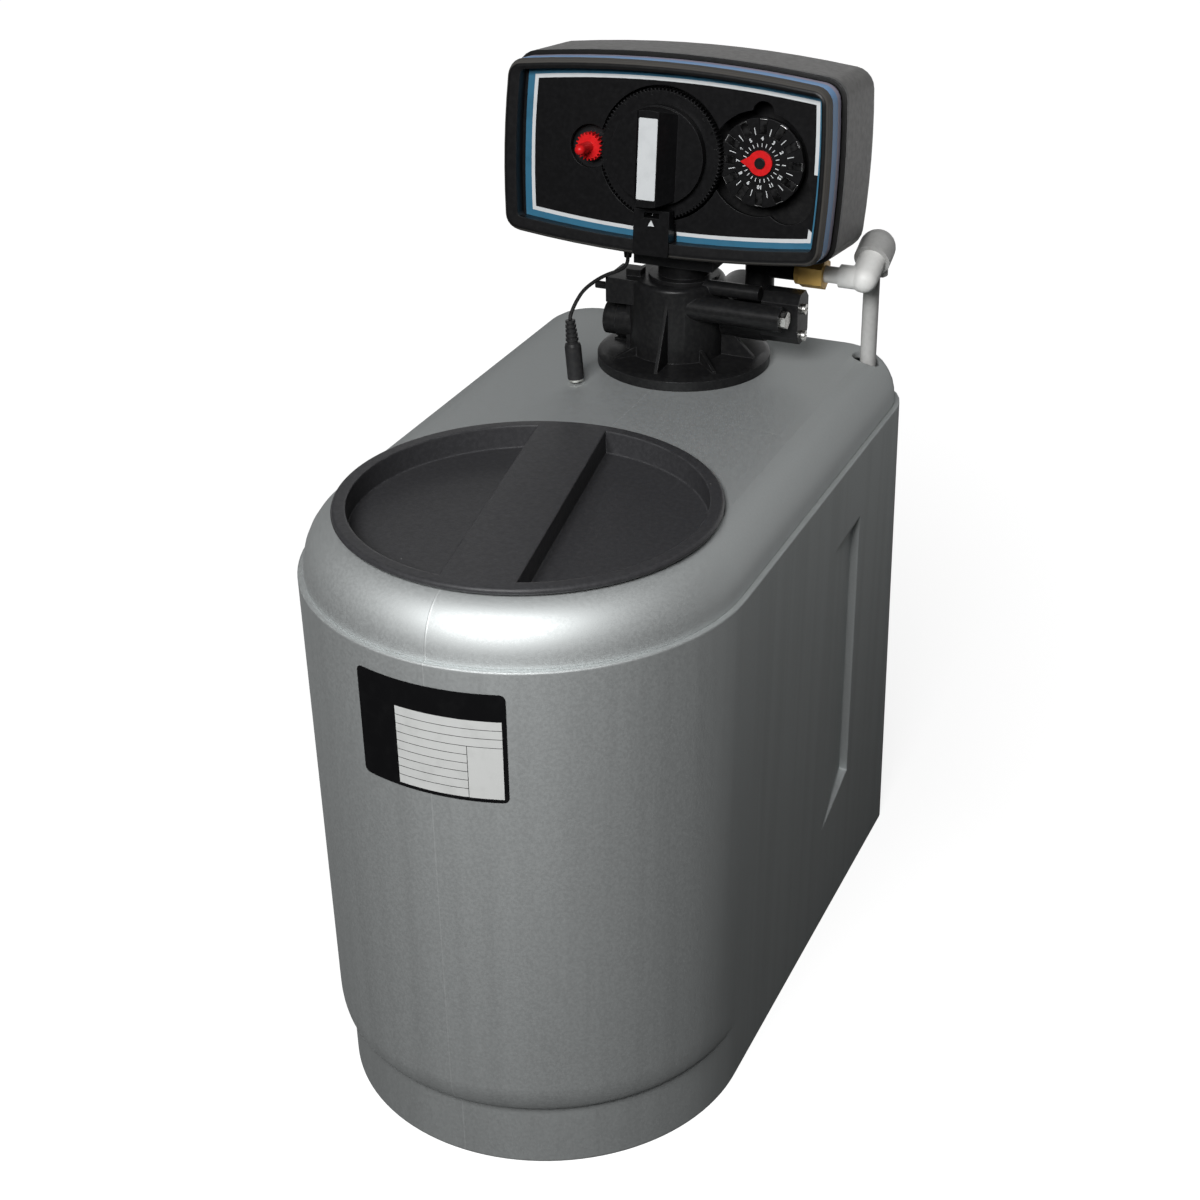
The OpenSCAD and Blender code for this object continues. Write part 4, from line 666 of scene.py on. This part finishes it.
class Plate:
    """The label's cone: angle 0 is straight ahead, heights are in the row frame."""

    def __init__(self):
        low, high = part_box("rating_plate")
        points = [v.co for v in NODES["rating_plate"].data.vertices]
        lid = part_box("salt_lid")
        self.axis_y = (lid[0].y + lid[1].y) / 2
        self.low, self.high = low.z, high.z
        self.radius = {z: max(math.hypot(p.x, p.y - self.axis_y) for p in points if abs(p.z - z) < MM)
                       for z in (self.low, self.high)}
        self.half_angle = math.degrees(math.asin(high.x / self.radius[self.high]))

    def at(self, angle, z, lift):
        """Point at an angle and a height, lifted off the label's front."""
        share = (z - self.low) / (self.high - self.low)
        r = self.radius[self.low] + (self.radius[self.high] - self.radius[self.low]) * share + lift
        turn = math.radians(angle)
        return Vector((r * math.sin(turn), self.axis_y - r * math.cos(turn), z))

    def patch(self, mesh, left, right, low, high, back, front, corner=0.0):
        """A closed patch of the label with round corners."""
        r = self.radius[self.high]
        columns = []
        for i in range(PLATE_COLUMNS + 1):
            share = (1 - math.cos(math.pi * i / PLATE_COLUMNS)) / 2
            angle = left + (right - left) * share
            inset = max(math.radians(min(angle - left, right - angle)) * r, 0.0)
            drop = corner - math.sqrt(corner ** 2 - (corner - inset) ** 2) if inset < corner else 0.0
            columns.append((angle, low + drop, high - drop))
        lines = [[mesh.verts.new(self.at(angle, (lo, hi)[k], lift)) for angle, lo, hi in columns]
                 for lift in (back, front) for k in (0, 1)]
        back_lo, back_hi, front_lo, front_hi = lines
        for i in range(PLATE_COLUMNS):
            j = i + 1
            mesh.faces.new((front_lo[i], front_lo[j], front_hi[j], front_hi[i]))
            mesh.faces.new((back_lo[i], back_hi[i], back_hi[j], back_lo[j]))
            mesh.faces.new((back_lo[i], back_lo[j], front_lo[j], front_lo[i]))
            mesh.faces.new((back_hi[i], front_hi[i], front_hi[j], back_hi[j]))
        for i in (0, PLATE_COLUMNS):
            mesh.faces.new((back_lo[i], front_lo[i], front_hi[i], back_hi[i]))


def rating_label(looks):
    """Black label with a white ruled field; nothing is written on it."""
    plate = Plate()
    mesh = bmesh.new()
    plate.patch(mesh, -plate.half_angle, plate.half_angle, plate.low, plate.high, -PLATE_T, 0, PLATE_CORNER)
    label = piece("rating_label", mesh, looks["plate_black"].material, "cabinet")
    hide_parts("rating_plate")
    low, high = plate.low + FIELD_LOW, plate.high - FIELD_TOP
    field = bmesh.new()
    plate.patch(field, FIELD_LEFT, FIELD_RIGHT, low, high, *FIELD_DEPTH)
    piece("label_field", field, looks["label_white"].material, "cabinet")
    rules = bmesh.new()
    pitch = (high - low) / FIELD_ROWS
    for row in range(1, FIELD_ROWS):
        z = high - pitch * row
        right = FIELD_RIGHT if row <= WIDE_ROWS else FIELD_DIVIDER
        plate.patch(rules, FIELD_LEFT, right, z - RULE_HALF, z + RULE_HALF, *RULE_DEPTH)
    width = math.degrees(RULE_HALF / plate.radius[plate.high])
    top = high - pitch * WIDE_ROWS
    plate.patch(rules, FIELD_DIVIDER - width, FIELD_DIVIDER + width, low, top, *RULE_DEPTH)
    piece("label_rules", rules, looks["plate_black"].material, "cabinet")


# Free lead with its in-line socket; the points are those of the part's source

LEAD_D = 2.2 * MM
VALVE_AXIS_Y = 122 * MM
COVER_TOP_Z = 344 * MM
LEAD_GLAND = [Vector((-31.25, 112.71, 410.14)) * MM, Vector((-31.25, 112.14, 405.17)) * MM]
LEAD_POINTS = [
    (-31.4, -10.2, 59.2), (-32, -11, 57.6), (-32.8, -12.2, 56.4), (-33.9, -13.9, 55.7),
    (-36, -17, 55), (-38.2, -20.2, 54.6), (-40.3, -23.7, 54), (-42.2, -27.8, 53.2),
    (-43.8, -32.2, 52.2), (-45.2, -36.8, 51), (-46.4, -41.2, 49.2), (-47.2, -45.2, 46.8),
    (-47.8, -49, 44), (-48.2, -52.2, 41), (-48.2, -54.2, 39), (-48, -55, 37)]
SOCKET_MOUTH = Vector((-44, -57, 1.2)) * MM + Vector((0, VALVE_AXIS_Y, COVER_TOP_Z))
LEAD_ROUTE = LEAD_GLAND + [Vector(p) * MM + Vector((0, VALVE_AXIS_Y, COVER_TOP_Z)) for p in LEAD_POINTS]


def power_lead(looks):
    """Thin lead from the head's gland to the socket that hangs on the cover."""
    curve = bpy.data.curves.new("lead", "CURVE")
    curve.dimensions = "3D"
    curve.bevel_depth = LEAD_D / 2
    curve.bevel_resolution = 5
    curve.resolution_u = 10
    curve.use_fill_caps = True
    spline = curve.splines.new("BEZIER")
    spline.bezier_points.add(len(LEAD_ROUTE) - 1)
    for point, place in zip(spline.bezier_points, LEAD_ROUTE):
        point.co = place
        point.handle_left_type = point.handle_right_type = "AUTO"
    lead = bpy.data.objects.new("lead", curve)
    curve.materials.append(looks["seal_rubber"].material)
    bpy.context.scene.collection.objects.link(lead)
    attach(lead, "cabinet")
    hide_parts("power_lead")


# Return spring of the brine valve, pressed together by the stem

SPRING_WIRE = 0.6 * MM
SPRING_TURNS = 4
SPRING_STEPS = 24
WIRE_SIDES = 8


def return_spring(looks):
    """Round-wire coil in the place of the CAD spring."""
    low, high = [Vector(corner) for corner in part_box("brine_valve_spring")]
    foot = Vector(((low.x + high.x) / 2, (low.y + high.y) / 2, low.z))
    radius = (high.x - low.x) / 2 - SPRING_WIRE
    rise = high.z - low.z - 2 * SPRING_WIRE
    count = SPRING_TURNS * SPRING_STEPS
    mesh = bmesh.new()
    rings = []
    for i in range(count + 1):
        turn = Matrix.Rotation(2 * math.pi * i / SPRING_STEPS, 3, "Z")
        centre = foot + Vector((0, 0, SPRING_WIRE + rise * i / count))
        ring = []
        for k in range(WIRE_SIDES):
            angle = 2 * math.pi * k / WIRE_SIDES
            offset = Vector((radius + SPRING_WIRE * math.cos(angle), 0, SPRING_WIRE * math.sin(angle)))
            ring.append(mesh.verts.new(centre + turn @ offset))
        rings.append(ring)
    mesh.faces.new(rings[0])
    mesh.faces.new(rings[-1])
    for near, far in zip(rings, rings[1:]):
        for k in range(WIRE_SIDES):
            j = (k + 1) % WIRE_SIDES
            mesh.faces.new((near[k], near[j], far[j], far[k]))
    spring = piece("return_spring", mesh, looks["steel"].material, "cabinet")
    spring.data.polygons.foreach_set("use_smooth", [True] * len(spring.data.polygons))
    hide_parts("brine_valve_spring")
    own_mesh(spring)


# CAD nodes

WELD = 0.01 * MM
# depth of the painted groove shade at the housing's front
PAINTED_GROOVE_SHADE = 4.0 * MM
TAB_TIP = 23.6 * MM
OWN_LOOK = {"set_pinion": "red_button", "dc_socket": "socket_black", "head_bezel": "bezel_black"}
SMOOTH_ANGLE = math.radians(32)
FLAT_WEIGHT = 100


def dress_nodes(looks):
    """Finish and smooth shading of the CAD nodes."""
    for name, node in NODES.items():
        node.data.materials.clear()
        node.data.materials.append(looks[OWN_LOOK.get(name, SLOT_OF[name])].material)
        if "custom_normal" in node.data.attributes:
            node.data.attributes.remove(node.data.attributes["custom_normal"])
        node.data.polygons.foreach_set("use_smooth", [True] * len(node.data.polygons))
        weld = node.modifiers.new("weld", "WELD")
        weld.merge_threshold = WELD
        split = node.modifiers.new("edges", "EDGE_SPLIT")
        split.split_angle = SMOOTH_ANGLE
        normals = node.modifiers.new("normals", "WEIGHTED_NORMAL")
        normals.weight = FLAT_WEIGHT


# Floor and light

FLOOR_HALF = 12.0
FLOOR_FADE = (0.3, 1.0)
FLOOR_BEHIND = (0.6, 1.6)
WORLD_BEHIND = (0.7, 0.95)
FLOOR_BOUNCE = 0.045
FLOOR_SHADE = 0.25
FLOOR_GLOW = 0.87
SKY_LIGHT = 0.09
GROUND_LIGHT = 0.01
SKY_SPAN = (-0.3, 1.0)
KEY_AT = Vector((0.17, -1.3, 1.25))
KEY_SIZE = (0.7, 0.5)
KEY_POWER = 30.0
AIM = Vector((0, 0, 0.3))


def combine(tree, operation, first, second):
    """Result of an operation on two outputs."""
    made = tree.nodes.new("ShaderNodeMath")
    made.operation = operation
    tree.links.new(first, made.inputs[0])
    tree.links.new(second, made.inputs[1])
    return made.outputs[0]


def mapped(tree, value, low, high, start, end):
    """value between low and high mapped to start and end."""
    made = tree.nodes.new("ShaderNodeMapRange")
    for key, number in (("From Min", low), ("From Max", high), ("To Min", start), ("To Max", end)):
        made.inputs[key].default_value = number
    tree.links.new(value, made.inputs["Value"])
    return made.outputs["Result"]


def choose(tree, unseen, seen, behind, output):
    """Joins two shaders to an output; seen is for the camera and for reflections of what is behind."""
    path = tree.nodes.new("ShaderNodeLightPath")
    mirrored = combine(tree, "MAXIMUM", path.outputs["Is Glossy Ray"], path.outputs["Is Transmission Ray"])
    reflected = combine(tree, "MULTIPLY", mirrored, behind)
    shown = combine(tree, "MAXIMUM", path.outputs["Is Camera Ray"], reflected)
    mix = tree.nodes.new("ShaderNodeMixShader")
    for start, end in zip((shown, unseen.outputs[0], seen.outputs[0]), mix.inputs):
        tree.links.new(start, end)
    tree.links.new(mix.outputs[0], tree.nodes[output].inputs["Surface"])


def make_world():
    """White behind the object; elsewhere a soft sky, darker towards the ground."""
    world = bpy.data.worlds.new("world")
    bpy.context.scene.world = world
    world.use_nodes = True
    tree = world.node_tree
    split = tree.nodes.new("ShaderNodeSeparateXYZ")
    tree.links.new(tree.nodes.new("ShaderNodeTexCoord").outputs["Generated"], split.inputs[0])
    sky = tree.nodes["Background"]
    sky.inputs["Color"].default_value = (1, 1, 1, 1)
    strength = mapped(tree, split.outputs["Z"], *SKY_SPAN, GROUND_LIGHT, SKY_LIGHT)
    tree.links.new(strength, sky.inputs["Strength"])
    seen = tree.nodes.new("ShaderNodeBackground")
    seen.inputs["Color"].default_value = (1, 1, 1, 1)
    choose(tree, sky, seen, mapped(tree, split.outputs["Y"], *WORLD_BEHIND, 0, 1), "World Output")


def make_floor():
    """Pale floor that reads as white and keeps a soft shadow."""
    mesh = bmesh.new()
    bmesh.ops.create_grid(mesh, x_segments=1, y_segments=1, size=FLOOR_HALF)
    data = bpy.data.meshes.new("floor")
    mesh.to_mesh(data)
    mesh.free()
    floor = bpy.data.objects.new("floor", data)
    bpy.context.scene.collection.objects.link(floor)
    material = bpy.data.materials.new("floor")
    material.use_nodes = True
    tree = material.node_tree
    tree.nodes.remove(tree.nodes["Principled BSDF"])
    plain = tree.nodes.new("ShaderNodeBsdfDiffuse")
    plain.inputs["Color"].default_value = (FLOOR_BOUNCE, FLOOR_BOUNCE, FLOOR_BOUNCE, 1)
    shadow = tree.nodes.new("ShaderNodeBsdfDiffuse")
    shadow.inputs["Color"].default_value = (FLOOR_SHADE, FLOOR_SHADE, FLOOR_SHADE, 1)
    glow = tree.nodes.new("ShaderNodeEmission")
    place = tree.nodes.new("ShaderNodeTexCoord").outputs["Object"]
    away = tree.nodes.new("ShaderNodeVectorMath")
    away.operation = "LENGTH"
    tree.links.new(place, away.inputs[0])
    strength = mapped(tree, away.outputs["Value"], *FLOOR_FADE, FLOOR_GLOW, 1)
    tree.links.new(strength, glow.inputs["Strength"])
    split = tree.nodes.new("ShaderNodeSeparateXYZ")
    tree.links.new(place, split.inputs[0])
    seen = tree.nodes.new("ShaderNodeAddShader")
    tree.links.new(shadow.outputs[0], seen.inputs[0])
    tree.links.new(glow.outputs[0], seen.inputs[1])
    choose(tree, plain, seen, mapped(tree, split.outputs["Y"], *FLOOR_BEHIND, 0, 1), "Material Output")
    data.materials.append(material)


def make_light(name, at, size, power):
    """A wide soft light aimed at the middle of the object."""
    data = bpy.data.lights.new(name, "AREA")
    data.shape = "RECTANGLE"
    data.size, data.size_y = size
    data.energy = power
    light = bpy.data.objects.new(name, data)
    light.location = at
    light.rotation_euler = (AIM - at).to_track_quat("-Z", "Y").to_euler()
    bpy.context.scene.collection.objects.link(light)


def main():
    bpy.context.scene.view_settings.view_transform = "Standard"
    make_camera()
    face = panel_frame()[0].translation
    skipper = dial_place("skipper_turn", "skip_tab_1")
    looks = make_looks(W_AXIS, face)
    looks["head_grey"] = housing_plastic(W_AXIS, W_AXIS * along("head_housing", W_AXIS)[1], PAINTED_GROOVE_SHADE)
    looks["bezel_black"] = bezel_plastic(W_AXIS, face)
    looks["tab_metal"] = tab_plate(skipper.translation, TAB_TIP)
    looks["red_button"] = button_plastic(W_AXIS, face, BUTTON_SPLIT)
    looks["socket_black"] = socket_plastic((SOCKET_MOUTH - LEAD_ROUTE[-1]).normalized(), SOCKET_MOUTH)
    looks["print_white"] = film("print_white", (0.56, 0.58, 0.59), (0.5, 0.52, 0.53))
    looks["print_teal"] = film("print_teal", (0.03, 0.13, 0.215), (0.023, 0.104, 0.172))
    looks["label_white"] = film("label_white", (0.58, 0.59, 0.58), (0.52, 0.53, 0.52))
    power_lead(looks)
    printed_frame(looks)
    knob_stripe(looks)
    hour_numerals(looks)
    time_arrow(looks)
    skipper_marks(looks)
    rating_label(looks)
    return_spring(looks)
    dress_nodes(looks)
    make_world()
    make_floor()
    make_light("key", KEY_AT, KEY_SIZE, KEY_POWER)


main()
